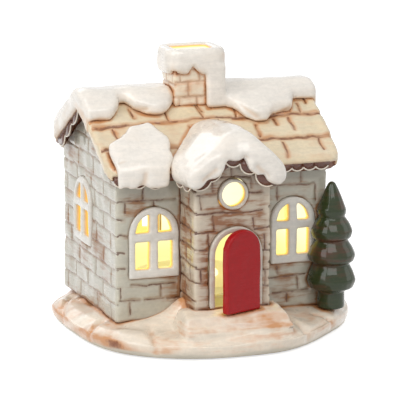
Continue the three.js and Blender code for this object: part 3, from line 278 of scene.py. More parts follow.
def off_wall(x, y):
    """Distance outside the house's and the porch's outer faces, in plan, and less than 0 inside them."""
    gaps = []
    for room in (HOUSE, PORCH):
        across = np.maximum(room["left"] - x, x - room["right"])
        along = np.maximum(room["front"] - y, y - room["back"])
        outside = np.hypot(np.maximum(across, 0), np.maximum(along, 0))
        gaps.append(outside + np.minimum(np.maximum(across, along), 0))
    return np.minimum(*gaps)


def inside_house(points):
    """1 for points on the inside of the walls and the porch, 0 outside them."""
    return (off_wall(points[:, 0], points[:, 1]) < -(WALL - 0.6)).astype(float)


def painted_glow_group():
    """Shader group: the painted lamp glow's colour, from brown over amber to yellow white."""
    group = bpy.data.node_groups.new("painted_lamplight", "ShaderNodeTree")
    group.interface.new_socket("Level", in_out="INPUT", socket_type="NodeSocketFloat")
    group.interface.new_socket("Color", in_out="OUTPUT", socket_type="NodeSocketColor")
    entry = group.nodes.new("NodeGroupInput")
    made = place(group, "ShaderNodeValToRGB", None, {0: entry.outputs["Level"]})
    ramp = made.color_ramp
    steps = [(0.0, (0, 0, 0, 1)), (0.15, (0.10, 0.025, 0.002, 1)), (0.36, (0.70, 0.27, 0.01, 1)),
             (0.58, (1.0, 0.66, 0.03, 1)), (0.76, (1.0, 0.90, 0.25, 1)), (0.9, (1.0, 0.97, 0.62, 1)),
             (1.0, (1.0, 1.0, 0.88, 1))]
    ramp.elements[0].position, ramp.elements[0].color = steps[0]
    ramp.elements[1].position, ramp.elements[1].color = steps[-1]
    for position, colour in steps[1:-1]:
        ramp.elements.new(position).color = colour
    leave = group.nodes.new("NodeGroupOutput")
    group.links.new(made.outputs["Color"], leave.inputs["Color"])
    return group


def stain_and_shade_group():
    """Shader group: glazed clay, stained brown in its cut joints and loose strokes, stained and painted with
    shade in crevices.
    """
    group = bpy.data.node_groups.new("stained and shaded glaze", "ShaderNodeTree")
    for name in ("Clay", "Stain", "Deep"):
        group.interface.new_socket(name, in_out="INPUT", socket_type="NodeSocketColor")
    for name in ("Strokes", "Halo", "Lines"):
        group.interface.new_socket(name, in_out="INPUT", socket_type="NodeSocketFloat")
    group.interface.new_socket("Color", in_out="OUTPUT", socket_type="NodeSocketColor")
    for name in ("Roughness", "Height"):
        group.interface.new_socket(name, in_out="OUTPUT", socket_type="NodeSocketFloat")
    entry = group.nodes.new("NodeGroupInput")

    def maths(operation, a, b=0.0, c=0.0):
        return place(group, "ShaderNodeMath", {"operation": operation}, {0: a, 1: b, 2: c}).outputs[0]

    def spread(value, low, high, bottom=0.0, top=1.0):
        """A soft step from low to high, from the bottom value to the top one."""
        limits = {"Value": value, "From Min": low, "From Max": high, "To Min": bottom, "To Max": top}
        return place(group, "ShaderNodeMapRange", {"interpolation_type": "SMOOTHSTEP"}, limits).outputs[0]

    def blend(amount, a, b):
        return place(group, "ShaderNodeMix", {"data_type": "RGBA"}, {0: amount, 6: a, 7: b}).outputs[2]

    def noise(vector, scale, detail, rough=0.55):
        return place(group, "ShaderNodeTexNoise", None,
                     {"Vector": vector, "Scale": scale, "Detail": detail, "Roughness": rough}).outputs[0]

    def shaken(value, grain, amount):
        """A value with some of a noise added to it and taken from it."""
        return maths("MULTIPLY_ADD", maths("SUBTRACT", grain, 0.5), amount, value)

    def kept(name):
        return place(group, "ShaderNodeAttribute", {"attribute_name": name}).outputs["Fac"]

    where = group.nodes.new("ShaderNodeTexCoord").outputs["Object"]
    drawn = place(group, "ShaderNodeMapping", None, {"Vector": where, "Scale": (55.0, 55.0, 330.0)}).outputs[0]
    broad = noise(where, 58.0, 3.0)
    patch = noise(where, 150.0, 2.0)
    fine = noise(where, 430.0, 3.0, 0.6)
    stroke = noise(drawn, 1.0, 4.0, 0.6)
    joint, crevice_stain_and_shade, worn_and_highlit = kept("joint"), kept("crevice_stain_and_shade"), kept("worn_and_highlit")
    broken = spread(patch, 0.36, 0.56, 0.3)
    core = maths("MULTIPLY", spread(shaken(joint, fine, 1.0), 2.2, 2.8),
                 maths("MULTIPLY", broken, entry.outputs["Lines"]))
    halo = maths("MULTIPLY", spread(shaken(joint, broad, 2.4), 0.6, 3.1), entry.outputs["Halo"])
    # Crevices and joins between parts: brown stain together with painted shade, darkest right in the join.
    tucked_stain_and_shade = spread(shaken(crevice_stain_and_shade, broad, 0.9), 0.25, 0.95)
    lined = spread(shaken(crevice_stain_and_shade, fine, 0.35), 0.74, 1.02)
    swept = maths("ADD", maths("MULTIPLY", stroke, 0.55), maths("MULTIPLY", broad, 0.45))
    loose = maths("MULTIPLY", spread(swept, 0.46, 0.68), entry.outputs["Strokes"])
    light = maths("MINIMUM", maths("ADD", maths("MAXIMUM", halo, tucked_stain_and_shade), loose), 1.0)
    light = maths("MULTIPLY", light, maths("MULTIPLY_ADD", worn_and_highlit, -0.75, 1.0))
    deep = maths("MAXIMUM", core, lined)
    cloudy = maths("ADD", maths("MULTIPLY", fine, 0.4), maths("MULTIPLY", stroke, 0.6))
    # Worn corners are painted lighter as well, as a highlight on the upright edges.
    value = maths("MULTIPLY_ADD", worn_and_highlit, 0.2, spread(cloudy, 0.3, 0.7, 0.88, 1.06))
    tone = place(group, "ShaderNodeHueSaturation", None,
                 {"Value": value, "Color": entry.outputs["Clay"]}).outputs[0]
    colour = blend(deep, blend(light, tone, entry.outputs["Stain"]), entry.outputs["Deep"])
    leave = group.nodes.new("NodeGroupOutput")
    group.links.new(colour, leave.inputs["Color"])
    group.links.new(maths("MULTIPLY_ADD", light, 0.18, 0.27), leave.inputs["Roughness"])
    relief = maths("ADD", maths("MULTIPLY", fine, 0.35), maths("MULTIPLY", stroke, 0.5))
    group.links.new(relief, leave.inputs["Height"])
    return group


STAIN_AND_SHADE, PAINTED_LAMPLIGHT = stain_and_shade_group(), painted_glow_group()
UNDER_PAINTED_GLOW = (0.05, 0.02, 0.004, 1)  # dark base colour under the painted lamp glow, so that the painted glow alone gives the colour there


def fired_glaze(name, clay, stain, deep, strokes=0.3, halo=0.7, lines=0.9, coat=0.75, relief=0.35,
                body_shine=0.2, bare=None):
    """Glazed, stained earthenware with a painted lamp glow as emission, left unglazed where the piece says so.

    Colours are screen values from 0 to 255.
    """
    material = bpy.data.materials.new(name)
    material.use_nodes = True
    tree = material.node_tree
    shader = tree.nodes["Principled BSDF"]
    stained = place(tree, "ShaderNodeGroup", {"node_tree": STAIN_AND_SHADE},
                    {"Clay": srgb(*clay), "Stain": srgb(*stain), "Deep": srgb(*deep),
                     "Strokes": strokes, "Halo": halo, "Lines": lines})
    # The glow attribute is a painted lamp glow: emission in place of the lamp's light, with the base colour
    # darkened under it.
    level = place(tree, "ShaderNodeAttribute", {"attribute_name": "glow"}).outputs["Fac"]
    painted_lamplight = place(tree, "ShaderNodeGroup", {"node_tree": PAINTED_LAMPLIGHT}, {"Level": level})
    shade = place(tree, "ShaderNodeMapRange", None,
                  {"Value": level, "From Max": 0.5, "To Max": 0.85}).outputs[0]
    lit = place(tree, "ShaderNodeMix", {"data_type": "RGBA"},
                {0: shade, 6: stained.outputs["Color"], 7: UNDER_PAINTED_GLOW}).outputs[2]
    rough = stained.outputs["Roughness"]
    shader.inputs["Coat Weight"].default_value = coat
    if bare is not None:
        dry = place(tree, "ShaderNodeAttribute", {"attribute_name": "bare"}).outputs["Fac"]
        lit = place(tree, "ShaderNodeMix", {"data_type": "RGBA"}, {0: dry, 6: lit, 7: srgb(*bare)}).outputs[2]
        rough = place(tree, "ShaderNodeMix", None, {0: dry, 2: rough, 3: 0.9}).outputs[0]
        shine = place(tree, "ShaderNodeMapRange", None,
                      {"Value": dry, "To Min": coat, "To Max": 0.0}).outputs[0]
        tree.links.new(shine, shader.inputs["Coat Weight"])
    shader.inputs["Coat Roughness"].default_value = 0.06
    shader.inputs["Specular IOR Level"].default_value = body_shine
    bump = place(tree, "ShaderNodeBump", None,
                 {"Strength": relief, "Distance": 0.0006, "Height": stained.outputs["Height"]})
    tree.links.new(lit, shader.inputs["Base Color"])
    tree.links.new(rough, shader.inputs["Roughness"])
    tree.links.new(bump.outputs[0], shader.inputs["Normal"])
    tree.links.new(painted_lamplight.outputs["Color"], shader.inputs["Emission Color"])
    shader.inputs["Emission Strength"].default_value = 1.0
    return material


def finish(piece, material, body, slot, *replaced):
    """Gives a piece its material and its body and hides the CAD nodes that it stands for. The slot is not used.
    """
    piece.data.materials.clear()
    piece.data.materials.append(material)
    piece.data.shade_smooth()
    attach(piece, body)
    if replaced:
        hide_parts(*replaced)


ground_glaze = fired_glaze("cream ground glaze", (246, 232, 213), (212, 154, 106), (136, 78, 42),
                           strokes=0.75, halo=0.5, relief=0.25, bare=(232, 224, 208))
HALF_WIDTH, HALF_DEPTH, KEPT_IN = 78.5, 72.0, 0.1
FOLDS = [(-47, -36, -53, -64), (-79, 17, -62, 45), (-66, -14, -78, -24), (24, -44, 30, -62), (42, -40, 54, -46)]
# Hills: their middle, their reach across and along, and their height.
BANK, FOOT = (-27.5, -32, 9.5, 9, 11), (15, -44, 5, 7, 1.6)
SWELLS = [(-62, -47, 10, 10, 1.5), (-38, -61, 11, 11, 1.4), (-74, 34, 13, 13, 1.2), (6, -68, 13, 13, 0.8),
          (50, -46, 12, 12, 0.8)]


def hill(x, y, middle_x, middle_y, across, along, height):
    """A smooth hill, in plan, of the given reach and height."""
    return height * np.exp(-((x - middle_x) / across) ** 2 - ((y - middle_y) / along) ** 2)


mound = cast("mound_and_steps", ["ground_base", "entrance_steps"], 0.9, 5)
points, normals = surface(mound)
x, y, z = points.T
gap = off_wall(x, y)
stairs = smooth_step(z, 13.25, 13.9) * (y < -40.5) * (np.abs(x + 8) < 31)
upper = smooth_step(normals[:, 2], 0.1, 0.7) * smooth_step(z, 6, 10) * (1 - stairs)
upper *= smooth_step(gap, -3.6, -0.6)
round_rim = np.hypot(x / HALF_WIDTH, y / HALF_DEPTH)
fold_gap = line_gap(x + 1.5 * lumps(points, 30, 8), y, FOLDS)
raised = hill(x, y, *BANK) * (x < PORCH["left"] + 3) + hill(x, y, *FOOT)
drift = 1.8 * np.exp(-np.maximum(gap, 0) / 4) * (0.55 + 0.45 * lumps(points, 26, 3))
sag = -1.7 * smooth_step(round_rim, 0.66, 0.98)
points[:, 2] += upper * (raised + drift + sag + 0.8 * lumps(points, 34, 4) + 0.3 * lumps(points, 13, 5)
                         - 1.3 * np.exp(-(fold_gap / 1.9) ** 2))
rim = smooth_step(round_rim, 0.8, 0.95) * smooth_step(z, 1.5, 5)
puffed = sum(hill(x, y, *swell) for swell in SWELLS)
points += normals * (rim * (puffed - 0.35 - 0.35 * lumps(points * [1, 1, 0.4], 19, 6)
                            - 0.8 * np.exp(-(fold_gap / 2.2) ** 2)))[:, None]
points += normals * (stairs * (0.2 + 0.4 * lumps(points, 15, 11)))[:, None]
points[:, 0] = np.clip(points[:, 0], KEPT_IN - HALF_WIDTH, HALF_WIDTH - KEPT_IN)
points[:, 1] = np.clip(points[:, 1], KEPT_IN - HALF_DEPTH, HALF_DEPTH - KEPT_IN)
move_points(mound, points)
points, normals = surface(mound)
# Stain and painted shade where the mound meets the walls, the door and the tree, on the risers and in the
# folds; brown stain along the left side.
against = near(points, ["house_walls", "porch_walls", "fir_tree", "front_door"], 5.0)
risers = stairs * (0.22 + 0.3 * smooth_step(-normals[:, 1], 0.3, 0.8))
folded = 0.5 * np.exp(-(fold_gap / 3.0) ** 2) * (z > 3)
washed = 0.85 * smooth_step(-x, 44, 64) * (0.75 + 0.25 * lumps(points, 16, 12)) * (1 - 0.4 * upper)
paint(mound, "crevice_stain_and_shade", np.maximum.reduce([against, risers, folded, washed]) * (z > 2.5))
below = np.maximum(smooth_step(-normals[:, 2], 0.2, 0.6) * (z < 9.5),
                   smooth_step(-z, -10.5, -9.5) * (np.hypot(x / 69, y / 62) < 0.97))
paint(mound, "bare", below)
# Painted lamp glow on the mound's top inside the walls.
paint(mound, "glow", inside_house(points) * (normals[:, 2] > 0.3) * (z > 9) * 0.78)
finish(mound, ground_glaze, "cottage", "ground_glaze", "ground_base", "entrance_steps")


# House walls: the shell's four walls, of cast clay, grey glazed. The masonry's joints are cut by hand, so
# the courses wander, and the stain lies dark in them. Stain and painted shade darken the joins, the upright
# corners are worn and painted lighter as a highlight, and inside the bare clay carries a painted lamp glow.
def masonry(left, right, low, high, course, brick, seed):
    """Joint lines for a wall: broken bed joints a little off level, and staggered short uprights."""
    rng = np.random.default_rng(seed)
    lines = []
    count = round((high - low) / course)
    levels = [low + (high - low) * i / count + rng.uniform(-0.7, 0.7) for i in range(count + 1)]
    for i, (foot, top) in enumerate(zip(levels, levels[1:])):
        u = left + brick * (0.35 + 0.5 * (i % 2)) + rng.uniform(-1.5, 1.5)
        while u < right - 3:
            lines.append((u + rng.uniform(-0.5, 0.5), foot + 0.5, u + rng.uniform(-0.5, 0.5), top - 0.5))
            u += brick * rng.uniform(0.85, 1.2)
    for level in levels[1:]:
        u = left
        while u < right:
            end = min(u + rng.uniform(16, 38), right)
            lines.append((u, level + rng.uniform(-0.4, 0.4), end, level + rng.uniform(-0.4, 0.4)))
            u = end + rng.uniform(0, 2.2)
    return lines


def add_detail(piece, chosen):
    """Cuts the mesh twice as fine where chosen is true, so that a narrow joint can be carved."""
    bm = bmesh.new()
    bm.from_mesh(piece.data)
    bm.verts.ensure_lookup_table()
    marks = [bool(c) for c in chosen]
    edges = [e for e in bm.edges if marks[e.verts[0].index] and marks[e.verts[1].index]]
    bmesh.ops.subdivide_edges(bm, edges=edges, cuts=1, use_grid_fill=True)
    bm.to_mesh(piece.data)
    bm.free()


FRONT_JOINTS = [  # across and up
    (-60.5, 76.4, -30, 76.0), (-47.6, 83, -47.5, 77), (-57.1, 75.3, -57, 70.5), (-60.3, 59.2, -56, 57.8),
    (-41.5, 75.5, -41.5, 72.8), (-62, 67.5, -58, 67), (-62, 50, -57.5, 49.5), (-62, 41.5, -57.5, 41),
    (-53.8, 32.4, -45.5, 31.3), (-44.4, 31.6, -30.2, 31.4), (-60.5, 24.3, -49.4, 23.5),
    (-46.6, 24.1, -36.6, 23.6), (-34.4, 23.4, -28, 23.9), (-55.2, 22.5, -54.8, 16.5), (-38, 30.5, -37.8, 25),
    (-60, 31, -59.8, 25.5), (22, 79.1, 47, 78.5), (39.7, 85, 39.7, 80.5), (26.1, 78, 26.4, 71),
    (47.6, 77.9, 48, 69.5), (15, 69, 22, 68.8), (15, 54, 21.5, 53.8), (20.5, 29.4, 42.5, 30.6),
    (26.4, 35.9, 27.1, 31.6), (37.8, 29.6, 38.4, 23), (24, 21.4, 44, 21.8), (32, 21, 32, 16),
    (48, 38, 52.5, 38),
]
COURSE, BRICK = 8.7, 24.0
WALL_FOOT, EAVES, GABLE = 14, 92, 120
WALL_JOINTS = {
    "front": FRONT_JOINTS,
    "back": masonry(HOUSE["left"], HOUSE["right"], WALL_FOOT, EAVES, COURSE, BRICK, 21),
    "left": masonry(HOUSE["front"], HOUSE["back"], WALL_FOOT, GABLE, COURSE, BRICK, 22),
    "right": masonry(HOUSE["front"], HOUSE["back"], WALL_FOOT, GABLE, COURSE, BRICK, 23),
}
WALL_WAVES = (0.22, 15, 31), (0.14, 6, 32)  # the height, size and seed of the lumps that shake the joints


def joint_gap(points, room, joints, waves, slack=1.2):
    """Distance to the nearest joint for points on the outer faces of a room, and FAR everywhere else."""
    wave = sum((height * lumps(points, size, seed) for height, size, seed in waves), np.zeros(len(points)))
    best = np.full(len(points), FAR)
    for side, lines in joints.items():
        axis = 0 if side in ("front", "back") else 1
        on_face = np.abs(points[:, 1 - axis] - room[side]) < slack
        found = line_gap(points[on_face, axis] + wave[on_face], points[on_face, 2] + wave[on_face], lines)
        best[on_face] = np.minimum(best[on_face], found)
    return best


def carve(points, normals, gap, depth, width):
    """Presses a rounded groove in the surface along the lines that gap is measured from."""
    return points - normals * np.reshape(depth * np.exp(-(gap / width) ** 2), (-1, 1))


def worn_highlit_corner(points, room):
    """Upright corners, stain wiped off and painted lighter as a highlight: 1 on them, 0 from about 6 mm off."""
    x, y = points[:, 0], points[:, 1]
    gaps = [np.hypot(x - room[a], y - room[b]) for a in ("left", "right") for b in ("front", "back")]
    return np.exp(-(np.minimum.reduce(gaps) / 3.2) ** 2)


LAMP_X, LAMP_Y = -4.0, 18.0


def painted_lamp_glow(points):
    """How strong the painted lamp glow is at a place inside: nearly white half way up, yellower below and
    above.
    """
    away = np.hypot(points[:, 0] - LAMP_X, points[:, 1] - LAMP_Y)
    level = 1.07 - 0.0022 * away - 0.17 * smooth_step(52 - points[:, 2], 0, 26)
    return np.clip(level - 0.26 * smooth_step(points[:, 2], 62, 76), 0.66, 1.0)


stone_glaze = fired_glaze("grey stone glaze", (196, 192, 176), (152, 110, 74), (98, 58, 36),
                          strokes=1.0, halo=0.42, lines=0.85, relief=0.5)
WINDOWS = ["window_front_left", "window_front_right", "window_left_side", "window_right_side",
           "window_back_left", "window_back_right"]

house = cast("stone_house_walls", ["house_walls"], 1.0, 4)
points, normals = surface(house)
add_detail(house, joint_gap(points, HOUSE, WALL_JOINTS, WALL_WAVES) < 1.5)
points, normals = surface(house)
gap = joint_gap(points, HOUSE, WALL_JOINTS, WALL_WAVES)
hidden = inside_house(points)
outer = 1 - hidden
points += normals * (outer * (0.3 + 0.18 * lumps(points, 11, 33) + 0.3 * lumps(points, 30, 34)))[:, None]
gable_side = smooth_step(np.abs(normals[:, 0]), 0.5, 0.8)
points = carve(points, normals, gap, 0.65 - 0.2 * gable_side, 0.6)
move_points(house, points)
paint(house, "joint", np.clip(2.9 - gap * (1 + 0.7 * gable_side), 0, 3))
# Stain and painted shade round the frames and where the wall meets the mound, the porch, the tree and the roof.
framed = 0.6 * near(points, WINDOWS, 4.0)
tucked_stain_and_shade = near(points, ["ground_base", "porch_walls", "fir_tree", "main_roof"], 3.0)
paint(house, "crevice_stain_and_shade", np.maximum(framed, tucked_stain_and_shade) * outer)
# Worn corners: stain wiped off and a painted highlight.
paint(house, "worn_and_highlit", worn_highlit_corner(points, HOUSE) * outer)
# Painted lamp glow on the inner faces.
paint(house, "glow", hidden * painted_lamp_glow(points))
finish(house, stone_glaze, "cottage", "stone_glaze", "house_walls")


# Window frames: arched, with a cross of glazing bars, of clay under a pale glaze, luted to the wall.
# The open panes' cut edges carry a painted lamp glow, from brown outside to yellow inside.
frame_glaze = fired_glaze("pale frame glaze", (230, 226, 217), (184, 142, 108), (120, 76, 50),
                          strokes=0.1, halo=0.3, relief=0.15)
FACING = {"front": ((0, -1), -HOUSE["front"]), "back": ((0, 1), HOUSE["back"]),
          "left": ((-1, 0), -HOUSE["left"]), "right": ((1, 0), HOUSE["right"])}
FRAME_PROUD = 1.2
FRONT_BRIGHT, SIDE_BRIGHT = 0.55, 0.68


def painted_reveal_glow(points, normals, way, plane, proud, inset, bright):
    """Painted lamp glow on the cut edges of an opening: none on the face, brown at its lip and yellow inside.
    """
    depth = plane + proud - points[:, :2] @ np.array(way)
    facing = normals[:, :2] @ np.array(way)
    side = 1 - smooth_step(facing, 0.15, 0.75)
    return side * (0.14 + bright * smooth_step(depth, 0.3, 4.5)) * smooth_step(inset, 0.9, 1.6)


def arch_inset(across, z, node, axis):
    """How far inside a round-topped frame's outer edge each point lies."""
    low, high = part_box(node)
    half = (high[axis] - low[axis]) / 2 / MM
    middle = (high[axis] + low[axis]) / 2 / MM
    spring = high[2] / MM - half
    outer = np.hypot(across - middle, np.maximum(z - spring, 0))
    return half - outer


def window_frame(node, side):
    """One glazed frame, on the named wall."""
    piece = cast(node + "_glazed", [node], 0.55, 4)
    points, normals = surface(piece)
    way, plane = FACING[side]
    axis = 0 if way[0] == 0 else 1
    inset = arch_inset(points[:, axis], points[:, 2], node, axis)
    points += normals * (0.22 + 0.12 * lumps(points, 9, 41))[:, None]
    move_points(piece, points)
    bright = FRONT_BRIGHT if axis == 0 else SIDE_BRIGHT
    paint(piece, "glow", painted_reveal_glow(points, normals, way, plane, FRAME_PROUD, inset, bright))
    # Stain and painted shade where the frame meets the wall.
    paint(piece, "crevice_stain_and_shade", near(points, ["house_walls"], 0.9) * 0.5)
    finish(piece, frame_glaze, "cottage", "frame_glaze", node)


for node, side in zip(WINDOWS, ("front", "front", "left", "right", "back", "back")):
    window_frame(node, side)


# Porch: the gabled front with a doorway and a round window, of the same cast clay as the house walls, and
# browner, because more stain was left on it. The doorway's arch and the window's ring are luted on.
PORCH_FRONT = [  # across and up
    (-13.6, 90.6, 3.1, 89.7), (-7.5, 95.5, -7.4, 91), (-26.4, 82, -15.8, 82.1), (-1, 82, 9, 81.6),
    (-24.5, 81, -24, 74.5), (-26.4, 72, 8.6, 71.5), (3.3, 89.2, 3.8, 84.5), (-18.3, 88.5, -17.5, 84),
    (-17.9, 70.5, -17, 63.6), (4.1, 68, 4.7, 63.6), (5.3, 62.5, 13.6, 62.5), (-27, 62.1, -16.5, 62.3),
    (-20.4, 60.9, -19.5, 50.5), (-27.4, 53.3, -21, 53), (-27, 43.4, -21, 43), (-24.2, 42.7, -24, 36.5),
    (-27, 35.6, -19, 35.2), (10, 58.8, 10.4, 51.2), (8.4, 50.6, 13.6, 50.4), (8.4, 40.3, 13.6, 40.4),
    (10.8, 39.5, 10.9, 33), (8.4, 32, 13.6, 32),
]
CHEEK_COURSES = (84, 73, 62.8, 53.6, 44.3, 35.8, 26.5)
CHEEK_UPRIGHTS = ((-40, 73.5), (-33, 63), (-43, 54), (-36, 44.5), (-42, 36), (-34, 27))
CHEEK = [(PORCH["front"], z, PORCH["back"], z + 0.8) for z in CHEEK_COURSES]
CHEEK += [(u, z + 0.5, u + 0.3, z + 8.6) for u, z in CHEEK_UPRIGHTS]
PORCH_JOINTS = {"front": PORCH_FRONT, "left": CHEEK, "right": CHEEK}
PORCH_WAVES = (0.3, 13, 51), (0.2, 6, 52)
porch_glaze = fired_glaze("brown stone glaze", (203, 190, 170), (146, 98, 62), (92, 52, 32),
                          strokes=1.6, halo=0.6, lines=0.9, relief=0.5)

porch = cast("stone_porch_walls", ["porch_walls"], 0.85, 4)
points, normals = surface(porch)
add_detail(porch, joint_gap(points, PORCH, PORCH_JOINTS, PORCH_WAVES) < 1.4)
points, normals = surface(porch)
gap = joint_gap(points, PORCH, PORCH_JOINTS, PORCH_WAVES)
hidden = inside_house(points)
outer = 1 - hidden
points += normals * (outer * (0.25 + 0.2 * lumps(points, 9, 53) + 0.25 * lumps(points, 24, 54)))[:, None]
points = carve(points, normals, gap, 0.65, 0.6)
move_points(porch, points)
paint(porch, "joint", np.clip(2.9 - gap, 0, 3))
# Stain and painted shade round the arch and the ring and where the porch meets the house, the steps, the roof
# and the snow.
framed = 0.65 * near(points, ["doorway_arch", "round_window_ring"], 3.4)
tucked_stain_and_shade = near(points, ["house_walls", "entrance_steps", "porch_roof", "porch_snow"], 2.4)
paint(porch, "crevice_stain_and_shade", np.maximum(framed, tucked_stain_and_shade) * outer)
# Worn corners: stain wiped off and a painted highlight.
paint(porch, "worn_and_highlit", worn_highlit_corner(points, PORCH) * outer)
# Painted lamp glow on the inner faces.
paint(porch, "glow", hidden * painted_lamp_glow(points))
finish(porch, porch_glaze, "cottage", "stone_glaze", "porch_walls")

trim_glaze = fired_glaze("pale stone glaze", (212, 205, 192), (172, 130, 96), (112, 70, 46),
                         strokes=0.35, halo=0.3, relief=0.3)
TRIM_PROUD, TRIM_GLOW_SHIFT, TRIM_BRIGHT = 1.3, 0.7, 0.74
for node, name in (("doorway_arch", "doorway_arch_glazed"), ("round_window_ring", "round_window_glazed")):
    piece = cast(name, [node], 0.5, 5)
    points, normals = surface(piece)
    inset = arch_inset(points[:, 0], points[:, 2], node, 0)
    points += normals * (0.2 + 0.12 * lumps(points, 8, 61))[:, None]
    move_points(piece, points)
    # Painted lamp glow on the cut edges of the doorway and the round window.
    paint(piece, "glow", painted_reveal_glow(points, normals, (0, -1), -PORCH["front"], TRIM_PROUD, inset + TRIM_GLOW_SHIFT,
                                     TRIM_BRIGHT))
    # Stain and painted shade where the trim meets the porch wall.
    paint(piece, "crevice_stain_and_shade", near(points, ["porch_walls"], 1.0) * 0.55)
    finish(piece, trim_glaze, "cottage", "frame_glaze", node)


# Door: a thick round-topped slab of clay, fixed ajar before firing, so it doesn't swing.
# Its bright red glaze has hardly any stain in it.
door_glaze = fired_glaze("red door glaze", (172, 10, 18), (128, 8, 14), (90, 12, 16),
                         strokes=0.15, halo=0.2, coat=0.4, relief=0.05, body_shine=0.05)
door = cast("front_door_glazed", ["front_door"], 0.5, 9)
points, normals = surface(door)
points += normals * (0.3 + 0.1 * lumps(points, 9, 71))[:, None]
move_points(door, points)
finish(door, door_glaze, "cottage", "door_glaze", "front_door")


# Roofs: slabs of clay luted on the walls, with cream tiles in stepped courses, joints cut down the slope
# and a strong brown stain in them. Under the thick rounded eaves the clay is painted chocolate brown.
TILE_JOINTS = [  # across and back, on the front slope
    (-67.5, -2.6, -34.6, -2.4), (-34.6, -2.4, -6.3, -1.4), (-6.3, -1.4, 10, -2.0), (10, -2.4, 60, -2.6),
    (-67.5, -17.9, -30, -17.9), (-30, -17.9, 59.5, -17.9), (-67, 13.2, 59.5, 13.2), (-42.9, 8.3, -42.4, 2.2),
    (-24.8, 4.8, -24.8, -0.8), (-56.2, -3.8, -54.6, -13.8), (-34.9, -4.3, -30.5, -12.2),
    (-15.1, -5.5, -14.4, -11.5), (-25.2, -18, -24.2, -22.9), (-6.2, 8.3, -4.6, 3.3), (13.3, 4.2, 12.5, -1.5),
    (21.3, -7.1, 20.5, -16), (40.8, -4, 41, -13), (49.5, 4.8, 48.8, -2), (31.4, -20, 31.7, -25.7),
    (31.7, -25.7, 30.6, -30.3), (52.5, -19, 53, -25.5), (32.7, -3.5, 33.6, -7.8), (-51.3, -10, -44, -8.2),
    (-7.6, 8.7, -5.3, -0.4), (54, 12, 54.5, 5), (2, -3, 1.5, -10),
]
TOP_ROW, MIDDLE_ROW, LOW_ROW, BACK_EDGE = 18.2, 33.8, 49.4, 64
LAST_TILE = 56
rng = np.random.default_rng(81)
for low, high, start in ((MIDDLE_ROW, LOW_ROW, -60), (LOW_ROW, BACK_EDGE, -52), (TOP_ROW, MIDDLE_ROW, -50)):
    across = start
    while across < LAST_TILE:
        TILE_JOINTS.append((across, low + 1.5, across + rng.uniform(-1, 1), high - 2))
        across += rng.uniform(14, 19)
TILE_JOINTS += [(-67, y, 59.5, y) for y in (TOP_ROW, MIDDLE_ROW, LOW_ROW)]
tile_glaze = fired_glaze("cream tile glaze", (236, 219, 186), (204, 146, 98), (116, 68, 42),
                         strokes=0.42, halo=0.8, lines=0.8, relief=0.3)
EAVE = {"front": -33.5, "back": 65.0, "left": -67.5, "right": 59.5}
EAVE_LIP = 91.2


def tile_gap(points, top):
    """Distance to the nearest tile joint, in plan, where top says so, and FAR everywhere else."""
    wave = 0.5 * lumps(points, 17, 82) + 0.25 * lumps(points, 7, 83)
    return np.where(top > 0.5, line_gap(points[:, 0] + wave, points[:, 1] + wave, TILE_JOINTS), FAR)


roof = cast("tiled_main_roof", ["main_roof"], 0.9, 5)
points, normals = surface(roof)
add_detail(roof, tile_gap(points, smooth_step(normals[:, 2], 0.3, 0.6)) < 1.5)
points, normals = surface(roof)
x, y, z = points.T
top = smooth_step(normals[:, 2], 0.3, 0.6)
gap = tile_gap(points, top)
lip = np.maximum.reduce([smooth_step(EAVE["front"] + 8 - y, 0, 6), smooth_step(y - EAVE["back"] + 8, 0, 6),
                         smooth_step(EAVE["left"] + 6 - x, 0, 5), smooth_step(x - EAVE["right"] + 6, 0, 5)])
under_lip = smooth_step(EAVE["front"] + 3 - y, 0, 1.5) * smooth_step(EAVE_LIP - z, -0.5, 0.7)
uneven = 0.3 + 0.3 * lumps(points, 16, 84) + 0.3 * lumps(points, 36, 85)
points += normals * (top * uneven + 0.7 * lip)[:, None]
points[:, 1] += 2.4 * under_lip
points = carve(points, normals, gap, 0.75, 0.75)
move_points(roof, points)
SNOWS = ["ridge_snow_left", "ridge_snow_right", "eave_snow_front", "eave_snow_back", "porch_snow"]
inner = inside_house(points)
facing_down = smooth_step(-normals[:, 2], 0.3, 0.6)
soffit = np.maximum(facing_down * (1 - inner), under_lip)
# Stain and painted shade where the snow and the chimney meet the tiles.
tucked_stain_and_shade = near(points, SNOWS + ["chimney_stack", "chimney_snow"], 2.8) * top * 0.95
paint(roof, "joint", np.clip(3 - gap, 0, 3))
paint(roof, "crevice_stain_and_shade", np.maximum(tucked_stain_and_shade, 1.4 * soffit))
# Painted lamp glow on the roof's underside inside the house.
paint(roof, "glow", facing_down * inner * painted_lamp_glow(points) * 0.95)
finish(roof, tile_glaze, "cottage", "tile_glaze", "main_roof")

chocolate_glaze = fired_glaze("chocolate glaze", (98, 52, 34), (124, 70, 44), (60, 32, 20),
                              strokes=0.4, halo=0.2, relief=0.3)
PORCH_EAVE = {"left": -30.6, "right": 16.0, "front": -54.2, "low": 86.2}
porch_roof = cast("tiled_porch_roof", ["porch_roof"], 0.8, 5)
points, normals = surface(porch_roof)
points[:, 0] = np.clip(points[:, 0], PORCH_EAVE["left"], PORCH_EAVE["right"])
points[:, 1] = np.maximum(points[:, 1], PORCH_EAVE["front"])
points[:, 2] = np.maximum(points[:, 2], PORCH_EAVE["low"])
move_points(porch_roof, points)
# Painted lamp glow on the porch roof's underside inside.
paint(porch_roof, "glow", smooth_step(-normals[:, 2], 0.3, 0.6) * inside_house(points) * 0.8)
finish(porch_roof, chocolate_glaze, "cottage", "tile_glaze", "porch_roof")


